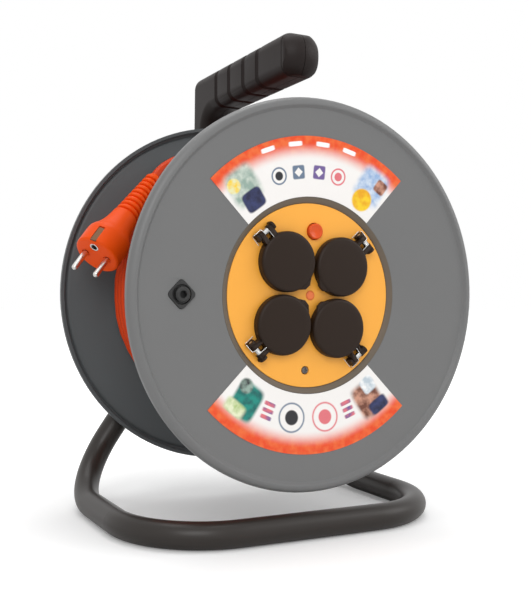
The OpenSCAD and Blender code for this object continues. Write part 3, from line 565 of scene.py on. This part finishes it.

# ---- Panel fixings ------------------------------------------------------------
# Two dark zinc-plated cross-head screws hold the panel. The middle one sits under a small
# amber plastic cap, whose redder tone is painted shade.
HEAD_R, SHANK_R, FIXING_END = 3, 1.5, 26
SLOT_REACH, SLOT_HALF = 1.9, 0.4
dark_zinc = grained_material("dark zinc", (0.16, 0.15, 0.15), 0.4, grain_size=700,
                             mottle=0.1, depth=0.05, metallic=0.8)
# The redder tone of the cap is painted shade at the middle of the panel.
cap_amber_painted_shade = grained_material("cap amber, painted shade", (0.9, 0.2, 0.05), 0.35)
screws = []
for off, head in ((0, PANEL_DEPTH - 0.6), (FIXING_OFF, PANEL_DEPTH + 0.1)):
    screw = turned("screw", [(0, head), (HEAD_R - 0.8, head + 0.1), (HEAD_R - 0.1, head + 0.8),
                             (HEAD_R, head + 1.6), (SHANK_R, head + 1.8),
                             (SHANK_R, FIXING_END), (0, FIXING_END)], 40)
    slots = [bar((-x, head - 1, -z), (x, head + 0.9, z))
             for x, z in ((SLOT_REACH, SLOT_HALF), (SLOT_HALF, SLOT_REACH))]
    combine(screw, slots, "DIFFERENCE")
    soften(screw, 0)
    place(screw, Matrix.Translation((off * MM, 0, 0)), in_pattern(270))
    screws.append(screw)
screws = place(join(screws, "panel_fixings"), AT_HUB)
finish(screws, "drum", dark_zinc, "steel", "panel_screws")
cap = turned("screw_cap", [(0, 8.9), (2.4, 9), (3.3, 9.4), (3.7, 10.05), (3.3, 10.05),
                           (3.2, 9.6), (0, 9.3)], 48)
soften(place(cap, AT_HUB), 0)
finish(cap, "drum", cap_amber_painted_shade, "panel_amber")

# ---- Reset button -------------------------------------------------------------
# Glossy orange-red plastic button of the thermal cut-out, with a raised rim. It slides
# in a round hole in the panel, and pops out when the cut-out trips.
BUTTON_FRONT, BUTTON_BACK = 7, 14
button_red = grained_material("button red", (0.75, 0.09, 0.012), 0.3, grain_size=300,
                              mottle=0.02, depth=0.03, shine=0.3)
button = turned("reset_cap", [(0, BUTTON_FRONT + 1), (BUTTON_R - 2.6, BUTTON_FRONT + 0.9),
                              (BUTTON_R - 1.7, BUTTON_FRONT + 0.1),
                              (BUTTON_R - 0.8, BUTTON_FRONT),
                              (BUTTON_R - 0.1, BUTTON_FRONT + 0.7),
                              (BUTTON_R, BUTTON_BACK), (0, BUTTON_BACK)], 64)
soften(button, 0)
place(button, Matrix.Translation((BUTTON_OFF * MM, 0, 0)), in_pattern(90), AT_HUB)
finish(button, "reset_button", button_red, "button_red", "reset_button")

# ---- Lids ---------------------------------------------------------------------
# Each socket has a round black lid on a sprung hinge: a hollow cap with a bevelled
# edge, a tab for the thumb, and two eyes round the hinge pin.
LID_R, LID_WALL, LID_FRONT, LID_BACK = 22.25, 2, 1.95, 9.65
EYE_R, PIN_HOLE_R, NOTCH = 3, 1.3, 5
TAB_REACH, TAB_HALF, TAB_ROOT, TAB_ROOT_HALF, TAB_T = 2.4, 2.4, 1.6, 7.5, 3.4


def make_lid():
    """The lid of the socket at angle 0."""
    cap = turned("cap", [(0, LID_FRONT), (LID_R - 6, LID_FRONT), (LID_R - 4.6, LID_FRONT + 0.2)]
                 + arc((LID_R - 3, LID_FRONT + 3.2), 3, 80, 0, 6)
                 + [(LID_R, LID_BACK), (LID_R - LID_WALL, LID_BACK),
                    (LID_R - LID_WALL, LID_FRONT + 2.2), (0, LID_FRONT + 2.2)], 96)
    place(cap, Matrix.Translation((SOCKET_OFF * MM, 0, 0)))
    arms = []
    for side in (-1, 1):
        low, high = sorted((side * NOTCH / 2, side * EAR_WIDTH / 2))
        arm = cross_pin(EYE_R, low, high)
        combine(arm, [bar((SOCKET_OFF + LID_R - 2.6, HINGE_DEPTH - EYE_R, low),
                          (HINGE_OFF, HINGE_DEPTH + 2.4, high))], "UNION")
        arms.append(arm)
    edge, tab_front = SOCKET_OFF - LID_R, LID_FRONT + 1.7
    tab = extruded("tab", [(edge + TAB_ROOT, tab_front, -TAB_ROOT_HALF),
                           (edge - TAB_REACH, tab_front, -TAB_HALF),
                           (edge - TAB_REACH, tab_front, TAB_HALF),
                           (edge + TAB_ROOT, tab_front, TAB_ROOT_HALF)], (0, TAB_T, 0))
    soften(tab, 0.8, 3)
    combine(cap, arms + [tab], "UNION")
    combine(cap, [bar((HINGE_OFF - 6.5, 0, -NOTCH / 2), (HINGE_OFF + 5, 12, NOTCH / 2)),
                  cross_pin(PIN_HOLE_R, -8, 8)], "DIFFERENCE")
    soften(cap, 0.3)
    return cap


lid_shape = make_lid()
for number, angle in enumerate(SOCKET_ANGLES, 1):
    lid = lid_shape.copy()
    lid.data = lid_shape.data.copy()
    lid.name = f"lid_cover_{number}"
    bpy.context.scene.collection.objects.link(lid)
    place(lid, in_pattern(angle), AT_HUB)
    finish(lid, f"lid_{number}", lid_black, "black_plastic", f"lid_{number}")
bpy.data.objects.remove(lid_shape)

# ---- Lid springs --------------------------------------------------------------
# A torsion spring of bright wire round each hinge pin, between the lid's two eyes.
# One leg presses on the lid, the other goes round the lug and rests on the panel.
WIRE_R, COIL_R, COILS, COIL_HALF = 0.32, 2, 6, 2.1
LEG_REACH, LEG_OFF, LEG_SIDE, LEG_END = 7.5, 3.6, 9.1, 5
ON_PANEL = PANEL_DEPTH - WIRE_R
spring_steel = grained_material("spring steel", (0.75, 0.75, 0.74), 0.25, grain_size=500,
                                mottle=0.05, depth=0.02, metallic=1)


def bent_bar(name, spots, radius, rounding, closed=False):
    """A round bar or wire along the spots, in mm, as a mesh."""
    curve = bpy.data.curves.new(name, "CURVE")
    curve.dimensions = "3D"
    curve.bevel_depth = radius * MM
    curve.bevel_resolution = rounding
    curve.use_fill_caps = not closed
    spline = curve.splines.new("POLY")
    spline.points.add(len(spots) - 1)
    spline.use_cyclic_u = closed
    for point, spot in zip(spline.points, spots):
        point.co = (*(Vector(spot) * MM), 1)
    bent = bpy.data.objects.new(name, curve)
    bpy.context.scene.collection.objects.link(bent)
    pick(bent)
    bpy.ops.object.convert(target="MESH")
    return bent


coil = []
for angle in range(0, 360 * COILS + 1, 15):
    a = math.radians(angle)
    coil.append((HINGE_OFF + COIL_R * math.sin(a), HINGE_DEPTH - COIL_R * math.cos(a),
                 -COIL_HALF + 2 * COIL_HALF * angle / (360 * COILS)))
lid_leg = [(HINGE_OFF - LEG_REACH, HINGE_DEPTH - COIL_R - 0.6, -COIL_HALF)]
panel_leg = [(HINGE_OFF + 2.6, HINGE_DEPTH - 1.9, COIL_HALF),
             (HINGE_OFF + LEG_OFF, HINGE_DEPTH - 0.6, COIL_HALF + 0.2),
             (HINGE_OFF + LEG_OFF, HINGE_DEPTH, LEG_SIDE - 0.8),
             (HINGE_OFF + LEG_OFF, HINGE_DEPTH + 0.8, LEG_SIDE),
             (HINGE_OFF + LEG_OFF, PANEL_DEPTH - 1.2, LEG_SIDE),
             (HINGE_OFF + LEG_OFF - 0.8, ON_PANEL, LEG_SIDE),
             (HINGE_OFF - LEG_END, ON_PANEL, LEG_SIDE)]
springs = []
for angle in SOCKET_ANGLES:
    side = -1 if angle > 180 else 1
    wire = bent_bar("spring", [(x, y, side * z) for x, y, z in lid_leg + coil + panel_leg],
                    WIRE_R, 2)
    bpy.ops.object.shade_smooth()
    springs.append(place(wire, in_pattern(angle)))
springs = place(join(springs, "lid_spring_coils"), AT_HUB)
finish(springs, "drum", spring_steel, "steel", "lid_springs")

# ---- Grip ---------------------------------------------------------------------
# Black plastic grip in two halves, screwed together round the end of the tube. It
# rises a little towards its round head, and has four finger grooves.
UPRIGHT_Y, GRIP_TILT = 189.5, 2
GRIP_FRONT, GRIP_BACK = 21.5, 202.5
GRIP_TOP, GRIP_LOW, GRIP_END, GRIP_W = 193.3, 160.1, 145, 30
GRIP_MID, GRIP_HALF = (GRIP_TOP + GRIP_LOW) / 2, (GRIP_TOP - GRIP_LOW) / 2
NECK_FRONT, NECK_FILLET = 177, 17
NOSE_TOP_R, NOSE_LOW_R, ELBOW_R, GRIP_ROUND, HEAD_BALL_R = 14, 10, 10, 8.5, 22
SCREW_HOLES, SCREW_HOLE_R = [(60.5, 193.9), (111.5, 166.4), (137.5, 165.9)], 3.3
FINGER_GROOVES, FINGER_R, FINGER_DEEP = (51.5, 76.2, 103, 128.5), 3.6, 1.9
HEAD_GROOVE, HEAD_GROOVE_R, HEAD_GROOVE_DEEP = 11, 0.9, 0.7
SEAM_HALF, SEAM_DEEP = 0.2, 3.2
grip_black = grained_material("grip black", (0.014, 0.009, 0.008), 0.48, grain_size=1100,
                              mottle=0.08, depth=0.3, shine=0.2)
TILT = (Matrix.Translation((0, UPRIGHT_Y * MM, GRIP_MID * MM))
        @ Matrix.Rotation(math.radians(-GRIP_TILT), 4, "X")
        @ Matrix.Translation((0, -UPRIGHT_Y * MM, -GRIP_MID * MM)))


def round_in(centre, radius, start, end, steps, tilted=False):
    """Points of a round corner in the side view, as (x, y, z) in mm."""
    spots = []
    for k in range(steps + 1):
        a = math.radians(start + (end - start) * k / steps)
        spot = Vector((0, centre[0] + radius * math.cos(a), centre[1] + radius * math.sin(a)))
        spots.append(TILT @ (spot * MM) / MM if tilted else spot)
    return spots


def grip_outline(inset):
    """The grip seen from its side, drawn in by inset mm."""
    return (round_in((GRIP_FRONT + NOSE_TOP_R, GRIP_TOP - NOSE_TOP_R), NOSE_TOP_R - inset,
                     180, 90, 10, True)
            + round_in((GRIP_BACK - ELBOW_R, GRIP_TOP - ELBOW_R), ELBOW_R - inset, 90, 0, 8)
            + [Vector((0, GRIP_BACK - inset, GRIP_END - 14)),
               Vector((0, NECK_FRONT + inset, GRIP_END - 14))]
            + round_in((NECK_FRONT - NECK_FILLET, GRIP_LOW + 1 - NECK_FILLET),
                       NECK_FILLET + inset, 0, 86, 10)
            + round_in((GRIP_FRONT + NOSE_LOW_R, GRIP_LOW + NOSE_LOW_R), NOSE_LOW_R - inset,
                       270, 180, 8, True))


def groove_tool(distance, tool_r, deep):
    """A round bar bent round the grip, which cuts a groove of that depth."""
    spots = round_square(GRIP_W / 2 - GRIP_ROUND, GRIP_HALF - GRIP_ROUND,
                         GRIP_ROUND + tool_r - deep, 0, 6)
    spots = [(x, GRIP_FRONT + distance, GRIP_MID + z) for x, y, z in spots]
    return place(bent_bar("groove", spots, tool_r, 6, closed=True), TILT)


def grip_slice(name, inset, half):
    """A slice of the grip's outline, half mm thick on either side of its middle."""
    return extruded(name, [spot - Vector((half, 0, 0)) for spot in grip_outline(inset)],
                    (2 * half, 0, 0))


grip = grip_slice("hand_grip", 0, GRIP_W / 2)
soften(grip, GRIP_ROUND, 8, 60)
pick()
bpy.ops.mesh.primitive_uv_sphere_add(
    segments=96, ring_count=48, radius=HEAD_BALL_R * MM,
    location=(0, (GRIP_FRONT + HEAD_BALL_R) * MM, GRIP_MID * MM))
head = bpy.context.object
bpy.ops.object.transform_apply(location=True, rotation=True, scale=True)
# What lies in the ball or behind it stays, which rounds the head.
combine(head, [bar((-30, GRIP_FRONT + 18, 100), (30, 230, 230))], "UNION")
combine(grip, [place(head, TILT)], "INTERSECT")
cuts = [groove_tool(distance, FINGER_R, FINGER_DEEP) for distance in FINGER_GROOVES]
cuts += [place(rod(SCREW_HOLE_R, 5, 20), Matrix.Translation((0, y * MM, z * MM))
               @ Matrix.Rotation(math.radians(-90), 4, "Z")) for y, z in SCREW_HOLES]
cuts.append(groove_tool(HEAD_GROOVE, HEAD_GROOVE_R, HEAD_GROOVE_DEEP))
# The neck is cut square, where the tube comes out.
cuts.append(bar((-20, 150, 100), (20, 230, GRIP_END)))
combine(grip, cuts, "DIFFERENCE")
seam = grip_slice("seam", -2, SEAM_HALF)
combine(seam, [grip_slice("core", SEAM_DEEP, 2)], "DIFFERENCE")
combine(grip, [seam], "DIFFERENCE")
soften(grip, 0, angle=38)
place(grip, AT_HUB)
finish(grip, "stand", grip_black, "grip_black", "grip_left", "grip_right")

# ---- Plug ---------------------------------------------------------------------
# Moulded orange rubber plug with two round pins, an earth hole with a metal rim, a
# groove with an earth strip on either side, and a ribbed strain relief.
PLUG_AT, PLUG_TURN = (-129.4, 119.5, 28.5), (138.5, 17, -44.5)
PLUG_R, PLUG_LEN, PIN_OFF, PIN_SEAT_R = 18.5, 45, 9.5, 3.3
EARTH_OFF, EARTH_R, EARTH_DEEP = 10, 3.7, 12
STRIP_AT, STRIP_HALF_X, STRIP_HALF_Z = 20, 2.6, 3.2
RIBS, RIB_STEP, RIB_R, RIB_TAPER = 9, 5.2, 10, 0.46
RELIEF_LEN, RELIEF_BORE = 50, 3.7
AT_PLUG = (AT_HUB @ Matrix.Translation(Vector(PLUG_AT) * MM)
           @ Euler([math.radians(a) for a in PLUG_TURN]).to_matrix().to_4x4()
           @ Matrix.Rotation(math.radians(90), 4, "X"))
plug_orange = grained_material("plug orange", (0.88, 0.08, 0.001), 0.45, grain_size=1300,
                               mottle=0.08, depth=0.25, shine=0.15)


def face_hole(radius, off_x, off_z, start, end):
    """A round bar square to the plug's face."""
    return place(rod(radius, start, end), Matrix.Translation((off_x * MM, 0, off_z * MM)))


plug = turned("plug_moulding", [(0, 0), (16.2, 0), (17.5, -0.4), (18.3, -1.2), (PLUG_R, -2.4),
                                (PLUG_R, -16.5), (18.1, -19), (17, -21.4), (15.5, -24),
                                (14, -27.4), (12.8, -31), (11.9, -35), (11.2, -39.5),
                                (10.6, -PLUG_LEN), (0, -PLUG_LEN)], 96)
cuts = [face_hole(PIN_SEAT_R, side * PIN_OFF, 0, -0.7, 2) for side in (-1, 1)]
cuts += [bar((-STRIP_HALF_X, -15, at - STRIP_HALF_Z), (STRIP_HALF_X, 3, at + STRIP_HALF_Z))
         for at in (-STRIP_AT, STRIP_AT)]
cuts.append(face_hole(EARTH_R, 0, -EARTH_OFF, -EARTH_DEEP, 2))
combine(plug, cuts, "DIFFERENCE")
soften(plug, 0.45, 2, 50)
place(plug, AT_PLUG)
finish(plug, "drum", plug_orange, "plug_orange", "plug_body")

nickel = grained_material("nickel plate", (0.72, 0.71, 0.68), 0.22, grain_size=400,
                          mottle=0.05, depth=0.02, metallic=1)
# The earth strips are coloured a dark brown metal, which is painted shade of their groove and a
# painted orange reflection from the plug.
strip_steel_painted_shade = grained_material("strip steel, painted shade", (0.15, 0.085, 0.05), 0.5, grain_size=400,
                               mottle=0.08, depth=0.05, metallic=1)
dress(nickel, "plug_pins")
dress(strip_steel_painted_shade, "plug_earth_strips")
rim = turned("earth_rim", [(EARTH_R - 1.3, 0.35), (EARTH_R - 0.7, 0.55), (EARTH_R - 0.1, 0.35),
                           (EARTH_R, -0.2), (EARTH_R, 0.1 - EARTH_DEEP),
                           (0, 0.1 - EARTH_DEEP), (0, 0.5 - EARTH_DEEP),
                           (EARTH_R - 1.3, 0.5 - EARTH_DEEP)], 48)
soften(rim, 0)
place(rim, Matrix.Translation((0, 0, -EARTH_OFF * MM)), AT_PLUG)
finish(rim, "drum", nickel, "contact_steel")

relief_outline = [(0, 1 - PLUG_LEN), (10.1, 1 - PLUG_LEN)]
for k in range(RIBS):
    start = -PLUG_LEN - 0.6 - k * RIB_STEP
    wide = RIB_R - k * RIB_TAPER
    relief_outline += [(wide - 1.8, start), (wide - 1.8, start - 1.6), (wide - 0.5, start - 1.9),
                       (wide, start - 2.6), (wide - 0.1, start - 4.5), (wide - 0.6, start - 5.1)]
relief_end = -PLUG_LEN - RELIEF_LEN
relief_outline += [(5.2, relief_end + 1.6), (4.4, relief_end), (RELIEF_BORE, relief_end),
                   (RELIEF_BORE, relief_end + 10), (0, relief_end + 10)]
relief = turned("strain_relief", relief_outline, 64)
soften(relief, 0, angle=50)
place(relief, AT_PLUG)
finish(relief, "drum", plug_orange, "plug_orange", "plug_relief")

# ---- Printed labels -----------------------------------------------------------
# Two printed films stuck on the front flange, above and below the panel. Each is white
# with an orange band along the rim side, a row of small marks, and plain patches at
# both ends.
def print_spot_group():
    """One printed spot, laid over the colour that is there already."""
    group, given, put = new_group(
        "print spot",
        [("Place", "Vector", None), ("Under", "Color", (1, 1, 1, 1)),
         ("Ink", "Color", (0, 0, 0, 1)), ("Second Ink", "Color", (0, 0, 0, 1)),
         ("Centre", "Vector", (0, 0, 0)), ("Size", "Vector", (1, 1, 1)),
         ("Turn", "Float", 0.0), ("Corner", "Float", 2.0), ("Edge", "Float", 0.08)],
        [("Color", "Color")])
    off = add_node(group, "VectorMath", {0: given["Place"], 1: given["Centre"]},
                   operation="SUBTRACT")
    turned_back = add_node(group, "VectorRotate",
                           {"Vector": off.outputs[0], "Angle": given["Turn"]},
                           rotation_type="Z_AXIS")
    scaled = add_node(group, "VectorMath", {0: turned_back.outputs[0], 1: given["Size"]},
                      operation="DIVIDE")
    size = add_node(group, "VectorMath", {0: scaled.outputs[0]}, operation="ABSOLUTE")
    split = add_node(group, "SeparateXYZ", {0: size.outputs[0]})
    across, along = [maths(group, "POWER", split.outputs[axis], given["Corner"])
                     for axis in ("X", "Y")]
    reach = maths(group, "POWER", maths(group, "ADD", across, along),
                  maths(group, "DIVIDE", 1.0, given["Corner"]))
    mask = add_node(group, "MapRange",
                    {"Value": reach, "From Min": maths(group, "SUBTRACT", 1.0, given["Edge"]),
                     "From Max": maths(group, "ADD", 1.0, given["Edge"]),
                     "To Min": 1.0, "To Max": 0.0}, interpolation_type="SMOOTHSTEP")
    blot = add_node(group, "TexNoise", {"Vector": given["Place"], "Scale": 0.16, "Detail": 2.0})
    spread = add_node(group, "MapRange",
                      {"Value": blot.outputs["Fac"], "From Min": 0.38, "From Max": 0.66})
    mixed = add_node(group, "Mix", {"Factor": spread.outputs[0], "A": given["Ink"],
                                    "B": given["Second Ink"]}, data_type="RGBA")
    laid = add_node(group, "Mix", {"Factor": mask.outputs[0], "A": given["Under"],
                                   "B": mixed.outputs["Result"]}, data_type="RGBA")
    feed(group, put, {"Color": laid.outputs["Result"]})
    return group


PRINT_SPOT = print_spot_group()


def ink(red, green, blue):
    """A printing ink from its red, green and blue on paper, 0 to 255."""
    return tuple((v / 255) ** 2.2 for v in (red, green, blue)) + (1,)


def printed_film(name, ground, spots):
    """Each spot: centre, half size, turn in degrees, corner, soft edge, two inks."""
    material = bpy.data.materials.new(name)
    material.use_nodes = True
    tree = material.node_tree
    where = add_node(tree, "TexCoord", {}).outputs["Object"]
    split = add_node(tree, "SeparateXYZ", {0: where})
    flat = add_node(tree, "CombineXYZ", {
        "X": split.outputs["X"], "Y": maths(tree, "SUBTRACT", split.outputs["Z"], axle_z)})
    in_mm = add_node(tree, "VectorMath", {0: flat.outputs[0], "Scale": 1000.0},
                     operation="SCALE")
    printed = ground
    for centre, size, turn, corner, edge, first, second in spots:
        spot = add_node(tree, "Group", {
            "Place": in_mm.outputs[0], "Centre": (*centre, 0), "Size": (*size, 1),
            "Turn": math.radians(turn), "Corner": corner, "Edge": edge,
            "Ink": first, "Second Ink": second, "Under": printed}, node_tree=PRINT_SPOT)
        printed = spot.outputs["Color"]
    grain = add_node(tree, "TexNoise", {"Vector": where, "Scale": 1500.0})
    bump = add_node(tree, "Bump",
                    {"Strength": 0.05, "Distance": 0.0001, "Height": grain.outputs["Fac"]})
    feed(tree, tree.nodes["Principled BSDF"],
         {"Base Color": printed, "Roughness": 0.34, "Normal": bump.outputs["Normal"]})
    return material


DIAMOND, ROUND, CUSHION, DASH, SQUARE = 1, 2, 5, 6, 8
PAPER, WHITE = ink(246, 243, 240), ink(252, 252, 252)
RED_ORANGE, ORANGE = ink(236, 74, 26), ink(240, 108, 52)
YELLOW, DEEP_YELLOW = ink(250, 208, 40), ink(238, 168, 20)
SKY, PALE_SKY = ink(150, 180, 220), ink(216, 228, 242)
NAVY, BLUE = ink(30, 34, 66), ink(52, 60, 104)
BROWN, CLAY = ink(112, 66, 50), ink(206, 150, 126)
SLATE, MIST = ink(104, 122, 144), ink(190, 204, 214)
SAGE, PALE_SAGE = ink(148, 172, 160), ink(206, 216, 204)
TEAL, DEEP_TEAL = ink(22, 140, 126), ink(14, 96, 92)
LIME, PALE_LIME = ink(176, 200, 130), ink(232, 238, 200)
PINK, VIOLET, DARK = ink(226, 116, 124), ink(112, 92, 150), ink(40, 40, 44)
TOP_MID, LOW_MID = 93, 268.5
MARKS_R, DASHES_R = 91, 111.5


def mark(radius, angle, size, corner, edge, first, second=None):
    """A spot on the flange, square to the line from the axle at that angle."""
    a = math.radians(angle)
    centre = (radius * math.cos(a), radius * math.sin(a))
    return centre, size, 90 - angle, corner, edge, first, second or first


def target(angle, half, ring, dot):
    """A ring, just over a millimetre thick, with a dot in it."""
    return [mark(MARKS_R, angle, (half, half), ROUND, 0.06, ring),
            mark(MARKS_R, angle, (half - 1.2, half - 1.2), ROUND, 0.06, PAPER),
            mark(MARKS_R, angle, (half / 2, half / 2), ROUND, 0.1, dot)]


def diamond(angle, ground):
    """A small square with a white diamond in it."""
    return [mark(MARKS_R, angle, (5, 5), SQUARE, 0.1, ground),
            mark(MARKS_R, angle, (3.4, 3.4), DIAMOND, 0.15, PAPER)]


band = [((0, 0), (120, 120), 0, ROUND, 0.01, RED_ORANGE, ORANGE),
        ((0, 0), (106, 106), 0, ROUND, 0.06, PAPER, PAPER)]
dashes = [mark(DASHES_R, TOP_MID + turn, (5.6, 1.7), DASH, 0.15, WHITE)
          for turn in (-18, -6, 6, 18)]
top_row = (target(TOP_MID - 16, 6.4, PINK, PINK) + diamond(TOP_MID - 5.5, VIOLET)
           + diamond(TOP_MID + 5.5, SLATE) + target(TOP_MID + 16, 6.4, SLATE, DARK))
top_ends = [mark(97, TOP_MID - 34, (12, 13), CUSHION, 0.25, SKY, PALE_SKY),
            mark(84, TOP_MID - 33, (8.5, 8.5), ROUND, 0.1, YELLOW, DEEP_YELLOW),
            mark(101, TOP_MID - 38, (5, 5), CUSHION, 0.15, BROWN, CLAY),
            mark(97, TOP_MID + 34, (12, 13), CUSHION, 0.25, SAGE, PALE_SAGE),
            mark(84, TOP_MID + 33, (8.5, 7.5), CUSHION, 0.1, NAVY, BLUE),
            mark(101, TOP_MID + 38, (5.5, 5.5), ROUND, 0.12, YELLOW, PALE_LIME)]
bars = [mark(radius, LOW_MID + turn, (4.6, 1.5), DASH, 0.2, PINK, VIOLET)
        for radius in (86, 91, 96) for turn in (-22, 22)]
low_row = target(LOW_MID - 9, 11, SLATE, DARK) + target(LOW_MID + 9, 11, PINK, PINK) + bars
low_ends = [mark(93, LOW_MID + 34, (11, 13), CUSHION, 0.2, BROWN, CLAY),
            mark(84, LOW_MID + 38, (6, 6), CUSHION, 0.15, MIST, WHITE),
            mark(102, LOW_MID + 37, (8.5, 5), CUSHION, 0.15, NAVY, BLUE),
            mark(93, LOW_MID - 34, (11, 13), CUSHION, 0.15, TEAL, DEEP_TEAL),
            mark(84, LOW_MID - 38, (5.5, 5.5), ROUND, 0.2, SAGE, DARK),
            mark(102, LOW_MID - 37, (8.5, 5), CUSHION, 0.25, LIME, PALE_LIME)]
dress(printed_film("top label film", PAPER, band + dashes + top_row + top_ends), "label_top")
dress(printed_film("lower label film", PAPER, band + low_row + low_ends), "label_bottom")

# ---- Sockets behind the panel -------------------------------------------------
# Four black plastic wells hold the plugs, each with a nickel-plated earth contact and a
# rubber seal under its lid. A nickel-plated ring and two brass strips join them, and
# the thermal cut-out, in a closed grey case, sits behind the reset button.
NUMBERS = ("1", "2", "3", "4")
black_rubber = grained_material("black rubber", (0.02, 0.02, 0.02), 0.6)
brass = grained_material("contact brass", (0.72, 0.48, 0.18), 0.3, grain_size=400,
                         mottle=0.08, depth=0.05, metallic=1)
breaker_grey = grained_material("breaker grey", (0.06, 0.065, 0.07), 0.5)
dress(lid_black, *["socket_well_" + number for number in NUMBERS])
dress(black_rubber, *["lid_seal_" + number for number in NUMBERS])
dress(nickel, "earth_ring", *["earth_contact_" + number for number in NUMBERS])
dress(brass, "live_strip", "neutral_strip")
dress(breaker_grey, "cutout_body")

# ---- Cable entry and inner wires ----------------------------------------------
# The cable comes through a rubber gland in the core and is held by a nylon clamp. Its
# three wires run on to the strips in brown, blue and green plastic sleeves.
dress(black_rubber, "cord_gland")
dress(nylon, "cord_clamp")
dress(grained_material("wire brown", (0.2, 0.07, 0.025), 0.45), "wire_live", "wire_link")
dress(grained_material("wire blue", (0.05, 0.16, 0.5), 0.45), "wire_neutral")
dress(grained_material("wire green", (0.15, 0.42, 0.06), 0.45), "wire_earth")

# ---- Floor and light ----------------------------------------------------------
# A seamless white floor in a white room, and three soft boxes, as in a product studio.
# The floor is a little darker to the camera round the object, so its shadow shows.
bpy.ops.mesh.primitive_plane_add(size=12, location=(0, 0, 0))
floor = bpy.context.object
floor.name = "floor"
floor_white = bpy.data.materials.new("floor white")
floor_white.use_nodes = True
tree = floor_white.node_tree
paint = feed(tree, tree.nodes["Principled BSDF"],
             {"Base Color": (0.92, 0.92, 0.92, 1), "Roughness": 0.9})
away = add_node(tree, "VectorMath", {0: add_node(tree, "TexCoord", {}).outputs["Object"]},
                operation="LENGTH")
rise = add_node(tree, "MapRange", {"Value": away.outputs["Value"], "From Min": 0.1,
                                   "From Max": 0.4, "To Min": 0.11, "To Max": 0.6})
seen = add_node(tree, "LightPath", {}).outputs["Is Camera Ray"]
glow = add_node(tree, "Emission", {"Strength": maths(tree, "MULTIPLY", seen, rise.outputs[0])})
both = add_node(tree, "AddShader", {0: paint.outputs[0], 1: glow.outputs[0]})
feed(tree, tree.nodes["Material Output"], {"Surface": both.outputs[0]})
floor.data.materials.append(floor_white)

world = bpy.data.worlds.new("studio")
bpy.context.scene.world = world
world.use_nodes = True
tree = world.node_tree
ray = add_node(tree, "LightPath", {}).outputs
bright = maths(tree, "MAXIMUM", ray["Is Camera Ray"], ray["Is Glossy Ray"])
level = add_node(tree, "MapRange", {"Value": bright, "To Min": 0.55, "To Max": 1.0})
feed(tree, tree.nodes["Background"], {"Color": (1, 1, 1, 1), "Strength": level.outputs[0]})


def soft_box(name, spot, size, power):
    """A square lamp that points at the middle of the reel."""
    light = bpy.data.lights.new(name, "AREA")
    light.shape = "SQUARE"
    light.size = size
    light.energy = power
    lamp = bpy.data.objects.new(name, light)
    lamp.location = spot
    aim = Vector((0, 0, 0.18)) - Vector(spot)
    lamp.rotation_euler = aim.to_track_quat("-Z", "Y").to_euler()
    bpy.context.scene.collection.objects.link(lamp)


soft_box("soft box left", (-0.9, -1.5, 1.2), 1.0, 11.8)
soft_box("soft box right", (1.4, -0.9, 1.0), 1.0, 7)
soft_box("soft box top", (0.0, 0.2, 2.0), 1.2, 12)

bpy.context.scene.view_settings.view_transform = "Standard"
